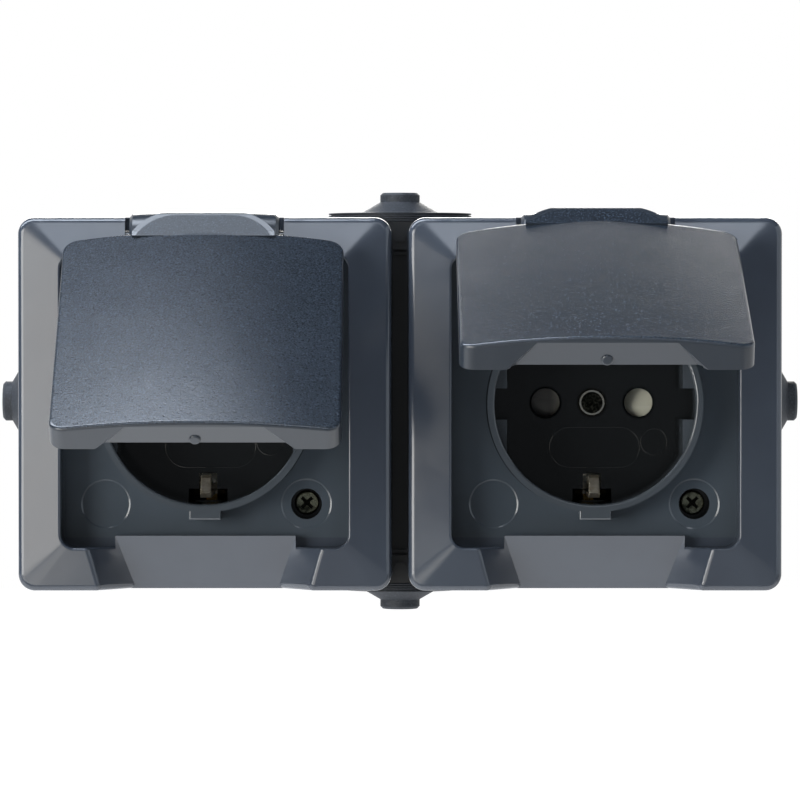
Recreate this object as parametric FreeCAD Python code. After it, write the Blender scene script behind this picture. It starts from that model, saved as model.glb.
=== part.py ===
"""Double surface socket for outdoor use: two earthed sockets with hinged lids on one back box.

Frame: X to the right, Z up, the front faces -Y. The back face lies in Y = 0 and the origin is
its centre. Depths are distances in front of the wall, so a depth d lies at Y = -d.
"""
import FreeCAD, Part
import math
import os

Vec = FreeCAD.Vector

# Overall sizes
COVER = 75.0                 # outline of one square cover at its front bevel
COVER_GAP = 3.5              # between the two covers
COVER_HEIGHT = 20.5          # from the covers' rear edge to the front edge of the recess
BASE_DEPTH = 31.5            # depth of the back box, where the covers sit

# Back box
BASE_INSET = 0.5             # the box stands this much inside the cover outline
BASE_CORNER = 3.6
BASE_WALL = 2.4
BASE_FLOOR = 3.0
RIM_HEIGHT = 3.0             # thick rim at the mouth of the box
RIM_WIDTH = 4.0
RIM_CORNER = 2.0
TONGUE_WIDTH = 2.4           # raised tongue that carries the cover seal
TONGUE_HEIGHT = 2.4
TONGUE_CORNER = 3.0
TRENCH_HALF = 1.3            # groove between the covers
TRENCH_DEPTH = 1.6
TRENCH_INSET = 5.7           # from the box's edge to the end of the groove
PIP_RADIUS = 1.2
PIP_INSET = 3.0
PIP_HEIGHT = 0.5
RIDGE_WIDTH = 0.5            # low bars across the trench near its ends
RIDGE_FALL = 0.6
DIVIDER_HALF = 1.2
DIVIDER_END = 19.0
POST_RADIUS = 4.0
POST_FALL = 3.5
PAD_PLACE = 13.0             # pads under the contact carriers
PAD_HALF = 3.0
PAD_INSET = 2.0
WALL_HOLE_RADIUS = 2.2
WALL_HOLE_INSET_X = 9.25
WALL_HOLE_INSET_Z = 10.0
WALL_HOLE_BOSS = 4.2
WALL_HOLE_BOSS_HEIGHT = 1.5

# Cable entries
ENTRY_LIFT = 0.25            # in front of the middle of the box's depth
ENTRY_EDGE = 0.95            # between the flange and half the box's depth
ENTRY_HOLE = 8.0
ENTRY_FIT = 0.05
ENTRY_RIBS = 4
ENTRY_RIB_PITCH = 0.48
ENTRY_GROOVE = 0.5
ENTRY_CONE_FOOT = 7.7
ENTRY_CONE_HEIGHT = 2.4
ENTRY_TIP_RADIUS = 4.1
ENTRY_TIP_HEIGHT = 1.9
ENTRY_TIP_ROUND = 0.5
ENTRY_SKIN = 0.9
ENTRY_INNER_FLANGE = 9.6
ENTRY_INNER_THICK = 1.4

# Cover
COVER_CORNER = 3.3
COVER_DRAFT = 0.3            # the rear edge stands this much further out
COVER_WALL = 2.0
FRAME_SLOPE = 1.5            # fall of the frame from the recess to the outer edge
FRAME_ROUND = 1.4
FRAME_WIDTH = 8.65           # side and lower bars of the frame round the recess
FRAME_HEAD = 7.6             # its upper bar
RECESS_DEPTH = 8.5
RECESS_CORNER = 2.75
RECESS_EDGE = 0.45
FLOOR_THICK = 2.2
SEAL_SHELF = 2.0             # thickness of the shelf that presses on the cover seal
SEAL_THICK = 1.0
EAR_REACH = 8.0              # solid stock beside the hinge slot that holds the pin

# Finger scoop under the lid
SCOOP_TOP_INSET = 2.25       # its block's top edge inside the recess
SCOOP_TOP_SIDE = 5.4         # from the mouth's upper corner to the ramp's
SCOOP_TOP_FALL = 5.0         # its distance behind the front edge
SCOOP_FOOT_INSET = 1.4       # its lower edge inside the cover's outline
SCOOP_FOOT_SIDE = 7.2
SCOOP_FOOT_FALL = 12.4
SCOOP_MOUTH_SIDE = 5.25      # from the recess wall to the mouth's upper corner
SCOOP_MOUTH_TAPER = 1.4
SCOOP_MOUTH_DROP = 0.15
SCOOP_MOUTH_INSET = 1.7
SCOOP_ROUND = 1.1
SCOOP_WALL = 4.0

# Cover screws
SCREW_INSET = 8.55           # from the recess wall
SCREW_WELL_RADIUS = 3.13
SCREW_WELL_WALL = 1.3
SCREW_WELL_FLOOR = 1.6
SCREW_RING = 5.15
SUNK_DISC = 5.0
SUNK_DEPTH = 0.12
SUNK_SLANT = 0.3             # run of the slanted wall round each sunk face
SCREW_HEAD_RADIUS = 2.5
SCREW_HEAD_HEIGHT = 1.7
SCREW_HEAD_ROUND = 0.5
SCREW_HEAD_FALL = 6.3        # top of the head below the recess floor
SCREW_SHANK_RADIUS = 1.45
SCREW_SHANK_LENGTH = 20.0
SCREW_FIT = 0.05
CROSS_WIDTH = 0.7
CROSS_DEPTH = 0.9
CROSS_REACH = 1.5

# Hinge
AXIS_RISE = 3.45             # the hinge axis lies this much above the recess
AXIS_FALL = 3.0              # and this much behind the front edge
BARREL_HALF = 14.95
BARREL_RADIUS = 4.95
BARREL_CROWN = 0.4
BARREL_ROUND = 0.6
HINGE_GAP = 1.0              # between the barrel's end and the frame
SLOT_CLEAR = 0.85
PIN_RADIUS = 1.5
PIN_HALF = 22.0
PIN_FIT = 0.03
BORE_FIT = 0.06
LEFT_LID_ANGLE = 50.0        # degrees that the lids stand open
RIGHT_LID_ANGLE = 67.0

# Lid
LID_GAP = 0.85               # between the lid and the sides of the recess
LID_FOOT_GAP = 0.45
LID_HEAD_GAP = 1.3
LID_CORNER = 3.0
LID_CROWN_FOOT = 2.1
LID_CROWN_MIDDLE = 2.7
LID_CROWN_HEAD = 2.9
LID_WALL = 1.8
LID_SKIRT = 4.7
LID_HEAD_SKIRT = 2.5
LID_ROUND = 0.7
GRIP_START = 0.9             # the facet starts this much in front of the lid's side edges
GRIP_HALF_FRONT = 13.3
GRIP_HALF_REAR = 19.2
GRIP_CUT = 1.5
GRIP_RISE = 0.5
GRIP_RISE_INSET = 0.9
NUB_RADIUS = 1.1             # small round stop on the facet
NUB_HEIGHT = 0.5
NUB_ROUND = 0.4
NUB_SHARE = 0.65             # of the facet's width, from its edge
HUMP_FOOT_FALL = 5.1         # from the axis down to the hump's lower edge
HUMP_FOOT_REACH = 5.95       # from the axis forward
HUMP_HEAD_RISE = 0.24
HUMP_HEAD_REACH = 6.86
HUMP_FOOT_HALF = 14.2
HUMP_HEAD_HALF = 6.8
HUMP_ROUND = 0.7
HUMP_SWELL_OUT = 0.6         # bulge of the hump's curved ends
HUMP_SWELL_UP = 0.8
SEAL_RIB_INNER = 19.5
SEAL_RIB_OUTER = 22.3
SEAL_RIB_FALL = 0.9
LID_SEAL_INNER = 19.8
LID_SEAL_OUTER = 22.0
LID_SEAL_THICK = 0.65

# Socket well
COLLAR_OUTER = 21.7
COLLAR_INNER = 20.2
COLLAR_FALL = 1.7            # rim of the collar behind the front edge
COLLAR_ROUND = 0.5
COLLAR_FIT = 0.15
WELL_FALL = 18.5             # floor of the well behind the front edge
WELL_FLOOR = 2.2
TAB_HALF = 3.2
TAB_ROUND = 0.35
TAB_REACH = 23.2
WELL_FLANGE = 23.6
WELL_FLANGE_THICK = 1.8
WELL_SEAL_THICK = 0.8
GUIDE_HALF = 10.75
GUIDE_NOTCH = 3.15
GUIDE_FLAT_FLOOR = 17.0
GUIDE_FLAT_FRONT = 17.7
GUIDE_FALL = 4.2
PIN_SPACING = 19.0
PIN_HOLE = 2.9
PIN_HOLE_CHAMFER = 0.4
EARTH_SLOT_HALF = 3.95
EARTH_SLOT_FAR = 20.0
EARTH_SLOT_STEP = 17.6
EARTH_SLOT_NEAR = 14.4
EARTH_SLOT_NEAR_HALF = 1.85
CENTRE_HEAD = 2.9
CENTRE_BORE = 3.2
CENTRE_SINK = 1.3
CENTRE_HEAD_HEIGHT = 1.0
CENTRE_CHAMFER = 0.35
CENTRE_DISH = 0.2
CENTRE_DISH_RADIUS = 2.15
CENTRE_CROSS_REACH = 1.35
CENTRE_CROSS_DEPTH = 0.55
CENTRE_SHANK = 1.6
CENTRE_LENGTH = 14.0
HUB_RADIUS = 2.6

# Shutter
SHUTTER_THICK = 1.9
SHUTTER_PLAY = 0.2
SHUTTER_PAD = 3.6
SHUTTER_HUB = 4.4
SHUTTER_ARM_HALF = 2.6
SHUTTER_FIT = 0.06
SHUTTER_RAMP = 0.9           # the ramps that a plug pin slides down start this deep
RAMP_RADIUS = 14.0
RAMP_OUT = 0.8
RAMP_UP = 4.2

# Shutter spring
SPRING_RADIUS = 3.4
SPRING_WIRE = 0.22
SPRING_TURNS = 4.0
SPRING_PITCH = 0.6
SPRING_POCKET = 4.2
SPRING_POCKET_DEPTH = 3.2
SPRING_LEG = 0.67            # its leg stands this far into the shutter
SPRING_NOTCH = 0.9

# Contact carrier
CARRIER_HALF = 17.0
CARRIER_CORNER = 2.0
CARRIER_STAND = 2.0
SLEEVE_OUTER = 3.3
SLEEVE_INNER = 2.35
SLEEVE_LENGTH = 15.0
SLEEVE_SLIT = 0.8
SLEEVE_FALL = 0.4            # the sleeves end this much behind the carrier's front
SLEEVE_ROOT = 3.0
POCKET_FIT = 0.25
CLAMP_HALF = 3.4
CLAMP_NEAR = 8.5
CLAMP_FAR = 15.5
CLAMP_REAR = 1.6             # the clamp blocks start this much behind the sleeves
CLAMP_HEIGHT = 10.0
CLAMP_WIRE_HOLE = 1.6
CLAMP_SCREW_RADIUS = 1.4
CLAMP_SCREW_STAND = 0.4      # heads stand this much over their block
CLAMP_HEAD_RADIUS = 2.4
CLAMP_HEAD_HEIGHT = 1.6
CLAMP_SLOT = 0.8
STRIP_THICK = 1.0
STRIP_HALF = 2.0

# Earth bow
BOW_THICK = 0.8
BOW_HALF = 3.2
BOW_NECK_HALF = 1.1
BOW_SHOULDER = 9.0           # the wide stem ends this much behind the well's floor
BOW_STEM = 18.6              # centre line of the stem from the well's centre
BOW_FALL = 6.5               # its crest behind the front edge
BOW_CREST = [(-0.7, 0.0), (0.0, 0.6), (-2.4, 3.2)]    # depth from the top, distance in from the stem
NOSE_HALF = 1.1
NOSE_REACH = 14.9
NOSE_FALL = 4.2
NOSE_BACK = 1.3
NOSE_ROUND = 0.3
EARTH_CLAMP_HALF = 3.0
EARTH_CLAMP_LENGTH = 7.0
EARTH_CLAMP_REAR = 4.0       # block behind and in front of the wire's axis
EARTH_CLAMP_FRONT = 5.0
EARTH_SCREW = 4.0            # screw from the stem

# Link strips between the two halves
LINK_HALF = 1.1
LINK_THICK = 0.9
POLE_SIGN = {"line": -1, "neutral": 1}
LINK_GAP = {"line": 6.2, "neutral": 9.3}       # from the cover screws' row
LINK_RISE = {"line": 3.6, "neutral": 6.6}      # in front of the clamp blocks' rear
EARTH_LINK_GAP = 6.7
EARTH_LINK_RISE = 2.0

SIDES = {"left": -1, "right": 1}
SHAPES = {}


def box(x0, x1, d0, d1, z0, z1):
    """Block between two values of X, of depth and of Z."""
    return Part.makeBox(x1 - x0, d1 - d0, z1 - z0, Vec(x0, -d1, z0))


def rod(x, z, d0, d1, radius):
    """Cylinder that points out of the wall."""
    return Part.makeCylinder(radius, d1 - d0, Vec(x, -d1, z), Vec(0, 1, 0))


def cone(x, z, d0, d1, radius0, radius1):
    """Cone frustum that points out of the wall, radius0 at its rear end."""
    return Part.makeCone(radius1, radius0, d1 - d0, Vec(x, -d1, z), Vec(0, 1, 0))


def rounded_wire(x0, x1, z0, z1, radius, depth):
    """Rounded rectangle that faces the front at one depth."""
    y = -depth
    slant = radius * (1 - math.sqrt(0.5))
    corners = [
        (Vec(x1 - radius, y, z0), Vec(x1 - slant, y, z0 + slant), Vec(x1, y, z0 + radius)),
        (Vec(x1, y, z1 - radius), Vec(x1 - slant, y, z1 - slant), Vec(x1 - radius, y, z1)),
        (Vec(x0 + radius, y, z1), Vec(x0 + slant, y, z1 - slant), Vec(x0, y, z1 - radius)),
        (Vec(x0, y, z0 + radius), Vec(x0 + slant, y, z0 + slant), Vec(x0 + radius, y, z0)),
    ]
    edges = []
    for number, (start, middle, end) in enumerate(corners):
        edges.append(Part.Arc(start, middle, end).toShape())
        following = corners[(number + 1) % 4][0]
        edges.append(Part.LineSegment(end, following).toShape())
    return Part.Wire(edges)


def slab(x0, x1, z0, z1, radius, d0, d1):
    """Block with rounded corners that points out of the wall."""
    face = Part.Face(rounded_wire(x0, x1, z0, z1, radius, d0))
    return face.extrude(Vec(0, -(d1 - d0), 0))


def prism_x(points, half):
    """Section given as (depth, z), drawn out along X to both sides."""
    wire = Part.makePolygon([Vec(-half, -d, z) for d, z in points + points[:1]])
    return Part.Face(wire).extrude(Vec(2 * half, 0, 0))


def prism_z(points, z0, z1):
    """Section given as (x, depth), drawn out along Z."""
    wire = Part.makePolygon([Vec(x, -d, z0) for x, d in points + points[:1]])
    return Part.Face(wire).extrude(Vec(0, 0, z1 - z0))


def strip_section(points, thick):
    """Outline of a bent strip of even thickness that follows (depth, z) points."""
    normals = []
    for (d0, z0), (d1, z1) in zip(points, points[1:]):
        length = math.hypot(d1 - d0, z1 - z0)
        normals.append((-(z1 - z0) / length, (d1 - d0) / length))
    outline = []
    for side in (1, -1):
        row = []
        for number, (d, z) in enumerate(points):
            first = normals[max(number - 1, 0)]
            second = normals[min(number, len(normals) - 1)]
            scale = thick / 2 / (1 + first[0] * second[0] + first[1] * second[1])
            row.append((d + side * scale * (first[0] + second[0]),
                        z + side * scale * (first[1] + second[1])))
        outline += row if side == 1 else row[::-1]
    return outline


def near(value, target, slack=0.02):
    return abs(value - target) < slack


def fuse(first, *others):
    return first.multiFuse(list(others)).removeSplitter()


def cut(shape, *tools):
    return shape.cut(list(tools))


def turned(profile):
    """Solid of revolution about Z from (radius, height) points."""
    wire = Part.makePolygon([Vec(r, 0, h) for r, h in profile + profile[:1]])
    return Part.Face(wire).revolve(Vec(0, 0, 0), Vec(0, 0, 1), 360)


def at_side(shape, side):
    """Copy of a shape moved from the middle to the left or the right socket."""
    moved = shape.copy()
    moved.translate(Vec(SIDES[side] * PITCH / 2, 0, 0))
    return moved


def keep(name, shape):
    SHAPES[name] = shape


# Values worked out from the sizes above

PITCH = COVER + COVER_GAP
FRONT = BASE_DEPTH + COVER_HEIGHT
BASE_HALF_Z = COVER / 2 - BASE_INSET
BASE_HALF_X = PITCH / 2 + BASE_HALF_Z
TRENCH_END = BASE_HALF_Z - TRENCH_INSET
PIP_PLACE = BASE_HALF_Z - PIP_INSET
POST_FRONT = BASE_DEPTH - POST_FALL
WALL_HOLE_X = BASE_HALF_X - WALL_HOLE_INSET_X
WALL_HOLE_Z = BASE_HALF_Z - WALL_HOLE_INSET_Z
ENTRY_DEPTH = BASE_DEPTH / 2 + ENTRY_LIFT
ENTRY_FLANGE = BASE_DEPTH / 2 - ENTRY_EDGE
RECESS_HALF = COVER / 2 - FRAME_WIDTH
RECESS_TOP = COVER / 2 - FRAME_HEAD
SCOOP_TOP = RECESS_HALF - SCOOP_TOP_INSET
SCOOP_FOOT = COVER / 2 - SCOOP_FOOT_INSET
SCOOP_MOUTH_TOP = RECESS_HALF + SCOOP_MOUTH_DROP
SCOOP_MOUTH_FOOT = COVER / 2 - SCOOP_MOUTH_INSET
SCOOP_MOUTH_TOP_HALF = RECESS_HALF - SCOOP_MOUTH_SIDE
SCOOP_MOUTH_FOOT_HALF = SCOOP_MOUTH_TOP_HALF - SCOOP_MOUTH_TAPER
SCOOP_TOP_HALF = SCOOP_MOUTH_TOP_HALF - SCOOP_TOP_SIDE
SCOOP_FOOT_HALF = SCOOP_MOUTH_FOOT_HALF - SCOOP_FOOT_SIDE
SCREW_PLACE = RECESS_HALF - SCREW_INSET
LINK_ROW = {pole: SCREW_PLACE + gap for pole, gap in LINK_GAP.items()}
EARTH_LINK_ROW = SCREW_PLACE + EARTH_LINK_GAP
AXIS_HEIGHT = RECESS_TOP + AXIS_RISE
LID_ANGLES = {"left": LEFT_LID_ANGLE, "right": RIGHT_LID_ANGLE}
LID_HALF = RECESS_HALF - LID_GAP
LID_FOOT = RECESS_HALF - LID_FOOT_GAP
LID_HEAD = RECESS_TOP - LID_HEAD_GAP
BOW_TOP = FRONT - BOW_FALL
CAVITY_HALF = BASE_HALF_Z - BASE_WALL
RIM_INNER = BASE_HALF_Z - RIM_WIDTH
TONGUE_OUTER = RIM_INNER + TONGUE_WIDTH
TONGUE_TOP = BASE_DEPTH + TONGUE_HEIGHT
COVER_REAR_HALF = COVER / 2 + COVER_DRAFT
RECESS_FLOOR = FRONT - RECESS_DEPTH
WELL_DEPTH = FRONT - WELL_FALL
WELL_BACK = WELL_DEPTH - WELL_FLOOR
AXIS_DEPTH = FRONT - AXIS_FALL
SLOT_HALF = BARREL_HALF + HINGE_GAP
SHUTTER_REAR = WELL_BACK - SHUTTER_PLAY - SHUTTER_THICK
CARRIER_FRONT = SHUTTER_REAR - SHUTTER_PLAY
CARRIER_BACK = BASE_FLOOR + CARRIER_STAND
SCREW_HEAD_DEPTH = RECESS_FLOOR - SCREW_HEAD_FALL
SCREW_SEAT = SCREW_HEAD_DEPTH - SCREW_HEAD_HEIGHT
COVER_SCREWS = [(SCREW_PLACE, -SCREW_PLACE), (-SCREW_PLACE, SCREW_PLACE)]
SEAL_SEAT = TONGUE_TOP + SEAL_THICK
SLEEVE_FRONT = CARRIER_FRONT - SLEEVE_FALL
SLEEVE_BACK = SLEEVE_FRONT - SLEEVE_LENGTH
CLAMP_DEPTH = SLEEVE_BACK - CLAMP_REAR
LINK_DEPTH = {pole: CLAMP_DEPTH + rise for pole, rise in LINK_RISE.items()}
EARTH_LINK_DEPTH = CLAMP_DEPTH + EARTH_LINK_RISE
CLAMP_MIDDLE = (CLAMP_NEAR + CLAMP_FAR) / 2
EARTH_MIDDLE = EARTH_SCREW - BOW_STEM


def cross_recess(x, z, front, width=CROSS_WIDTH, reach=CROSS_REACH, depth=CROSS_DEPTH):
    """Cross-shaped driver recess cut into a screw head."""
    bars = []
    for turn in (45, 135):
        bar = box(-reach, reach, front - depth, front + 0.5, -width / 2, width / 2)
        bar.rotate(Vec(0, 0, 0), Vec(0, 1, 0), turn)
        bar.translate(Vec(x, 0, z))
        bars.append(bar)
    middle = cone(x, z, front - depth - 0.3, front + 0.5, width * 0.5, width * 1.1)
    return bars + [middle]


# Back box with its posts, rim, tongues and trench
def back_box():
    body = slab(-BASE_HALF_X, BASE_HALF_X, -BASE_HALF_Z, BASE_HALF_Z, BASE_CORNER, 0, BASE_DEPTH)
    inner_x = PITCH / 2 + CAVITY_HALF
    rim_start = BASE_DEPTH - RIM_HEIGHT
    cavity = slab(-inner_x, inner_x, -CAVITY_HALF, CAVITY_HALF, BASE_CORNER - 1.5, BASE_FLOOR, rim_start)
    tools = [cavity]
    added = []
    for side in SIDES:
        mouth = slab(-RIM_INNER, RIM_INNER, -RIM_INNER, RIM_INNER, RIM_CORNER, rim_start - 1,
                     TONGUE_TOP + 1)
        tools.append(at_side(mouth, side))
        tongue = slab(-TONGUE_OUTER, TONGUE_OUTER, -TONGUE_OUTER, TONGUE_OUTER, TONGUE_CORNER, rim_start,
                      TONGUE_TOP)
        added.append(at_side(tongue, side))
    body = fuse(body, *added)
    body = cut(body, *tools)
    trench_floor = BASE_DEPTH - TRENCH_DEPTH
    body = cut(body, box(-TRENCH_HALF, TRENCH_HALF, trench_floor, BASE_DEPTH + 1, -TRENCH_END, TRENCH_END))
    extras = [box(-DIVIDER_HALF, DIVIDER_HALF, BASE_FLOOR - 0.5, rim_start + 0.5,
                  -DIVIDER_END, DIVIDER_END)]
    for sign in (1, -1):
        extras.append(rod(0, sign * PIP_PLACE, BASE_DEPTH - 0.5, BASE_DEPTH + PIP_HEIGHT, PIP_RADIUS))
        low = TRENCH_END - 2 * RIDGE_WIDTH
        high = TRENCH_END - RIDGE_WIDTH
        ridge = (low, high) if sign == 1 else (-high, -low)
        extras.append(box(-TRENCH_HALF - 0.2, TRENCH_HALF + 0.2, trench_floor - 0.4,
                          BASE_DEPTH - RIDGE_FALL, *ridge))
        for end in (1, -1):
            boss = rod(end * WALL_HOLE_X, sign * WALL_HOLE_Z, BASE_FLOOR - 0.5,
                       BASE_FLOOR + WALL_HOLE_BOSS_HEIGHT, WALL_HOLE_BOSS)
            extras.append(boss)
    for side in SIDES:
        for x, z in COVER_SCREWS:
            extras.append(at_side(rod(x, z, BASE_FLOOR - 0.5, POST_FRONT, POST_RADIUS), side))
        pad_end = CARRIER_HALF - PAD_INSET
        for x in (-PAD_PLACE, PAD_PLACE):
            pad = box(x - PAD_HALF, x + PAD_HALF, BASE_FLOOR - 0.5, CARRIER_BACK, -pad_end, pad_end)
            extras.append(at_side(pad, side))
    body = fuse(body, *extras)
    holes = []
    for sign in (1, -1):
        for end in (1, -1):
            holes.append(rod(end * WALL_HOLE_X, sign * WALL_HOLE_Z, -1, BASE_FLOOR + 5, WALL_HOLE_RADIUS))
        holes.append(Part.makeCylinder(ENTRY_HOLE, 12, Vec(0, -ENTRY_DEPTH, sign * BASE_HALF_Z - 6)))
        end = Vec(sign * BASE_HALF_X - 6, -ENTRY_DEPTH, 0)
        holes.append(Part.makeCylinder(ENTRY_HOLE, 12, end, Vec(1, 0, 0)))
    for side in SIDES:
        for x, z in COVER_SCREWS:
            holes.append(at_side(rod(x, z, SCREW_SEAT - SCREW_SHANK_LENGTH - 1, POST_FRONT + 1,
                                     SCREW_SHANK_RADIUS + SCREW_FIT), side))
    return cut(body, *holes)


# Soft stepped cable entry, turned about Z with the outer wall face at height 0
def cable_entry():
    rib_top = ENTRY_RIBS * ENTRY_RIB_PITCH
    tip_foot = rib_top + ENTRY_CONE_HEIGHT
    tip_top = tip_foot + ENTRY_TIP_HEIGHT
    inner = -BASE_WALL - ENTRY_INNER_THICK
    profile = [
        (0, tip_top - ENTRY_SKIN),
        (ENTRY_TIP_RADIUS - ENTRY_SKIN, tip_top - ENTRY_SKIN),
        (ENTRY_TIP_RADIUS - ENTRY_SKIN, tip_foot - 0.4),
        (ENTRY_CONE_FOOT - ENTRY_SKIN, rib_top - 0.4),
        (ENTRY_CONE_FOOT - ENTRY_SKIN, inner),
        (ENTRY_INNER_FLANGE, inner),
        (ENTRY_INNER_FLANGE, -BASE_WALL),
        (ENTRY_HOLE - ENTRY_FIT, -BASE_WALL),
        (ENTRY_HOLE - ENTRY_FIT, 0),
    ]
    for rib in range(ENTRY_RIBS):
        foot = rib * ENTRY_RIB_PITCH
        profile.append((ENTRY_FLANGE - ENTRY_GROOVE, foot))
        profile.append((ENTRY_FLANGE - ENTRY_GROOVE, foot + ENTRY_RIB_PITCH * 0.35))
        profile.append((ENTRY_FLANGE, foot + ENTRY_RIB_PITCH * 0.5))
        profile.append((ENTRY_FLANGE, foot + ENTRY_RIB_PITCH))
    profile += [
        (ENTRY_CONE_FOOT + 1.0, rib_top),
        (ENTRY_CONE_FOOT, rib_top + 0.3),
        (ENTRY_TIP_RADIUS, tip_foot),
        (ENTRY_TIP_RADIUS, tip_top - ENTRY_TIP_ROUND),
        (ENTRY_TIP_RADIUS - ENTRY_TIP_ROUND, tip_top),
        (0, tip_top),
    ]
    return turned(profile)


def cable_entries():
    places = {
        "top": (Vec(0, -ENTRY_DEPTH, BASE_HALF_Z), None, 0),
        "bottom": (Vec(0, -ENTRY_DEPTH, -BASE_HALF_Z), Vec(1, 0, 0), 180),
        "left": (Vec(-BASE_HALF_X, -ENTRY_DEPTH, 0), Vec(0, 1, 0), -90),
        "right": (Vec(BASE_HALF_X, -ENTRY_DEPTH, 0), Vec(0, 1, 0), 90),
    }
    for name, (place, axis, angle) in places.items():
        entry = cable_entry()
        if axis:
            entry.rotate(Vec(0, 0, 0), axis, angle)
        entry.translate(place)
        keep("cable_entry_" + name, entry)


# Square cover with the recess for the lid
def cover_outside():
    half = COVER / 2
    rear = COVER_REAR_HALF
    edge = FRONT - FRAME_SLOPE
    skirt = Part.makeLoft([
        rounded_wire(-rear, rear, -rear, rear, COVER_CORNER + COVER_DRAFT, BASE_DEPTH),
        rounded_wire(-half, half, -half, half, COVER_CORNER, edge),
    ], True, True)
    frame = Part.makeLoft([
        rounded_wire(-half, half, -half, half, COVER_CORNER, edge),
        rounded_wire(-RECESS_HALF + 1, RECESS_HALF - 1, -RECESS_HALF + 1, RECESS_TOP - 1, 1.0,
                     FRONT + FRAME_SLOPE / (half - RECESS_HALF)),
    ], True, True)
    body = fuse(skirt, frame)
    outline = [e for e in body.Edges
               if all(near(v.Y, -edge) for v in e.Vertexes) and e.BoundBox.YLength < 0.01]
    return body.makeFillet(FRAME_ROUND, outline)


def scoop_tool():
    """Space that the finger scoop takes out of the lower bar of the frame."""
    high = SCOOP_TOP - 1.0
    low = COVER_REAR_HALF + 2.0

    def ramp(z, sign):
        share = (z - SCOOP_TOP) / (SCOOP_FOOT - SCOOP_TOP)
        x = SCOOP_TOP_HALF + share * (SCOOP_FOOT_HALF - SCOOP_TOP_HALF)
        fall = SCOOP_TOP_FALL + share * (SCOOP_FOOT_FALL - SCOOP_TOP_FALL)
        return Vec(sign * x, -(FRONT - fall), -z)

    def mouth(z, sign):
        share = (z - SCOOP_MOUTH_TOP) / (SCOOP_MOUTH_FOOT - SCOOP_MOUTH_TOP)
        x = SCOOP_MOUTH_TOP_HALF + share * (SCOOP_MOUTH_FOOT_HALF - SCOOP_MOUTH_TOP_HALF)
        inside = ramp(z, sign)
        outside = Vec(sign * x, -FRONT, -z)
        return outside + (outside - inside) * 0.3

    rear = [ramp(high, -1), ramp(high, 1), ramp(low, 1), ramp(low, -1)]
    front = [mouth(high, -1), mouth(high, 1), mouth(low, 1), mouth(low, -1)]
    outlines = [Part.makePolygon(rear + rear[:1]), Part.makePolygon(front + front[:1])]
    return Part.makeLoft(outlines, True, True)


def sunk_face(x, z, radius):
    """Shallow round step in the recess floor with a slanted wall."""
    return cone(x, z, RECESS_FLOOR - SUNK_DEPTH, RECESS_FLOOR + SUNK_DEPTH, radius - SUNK_SLANT,
                radius + SUNK_SLANT)


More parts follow.
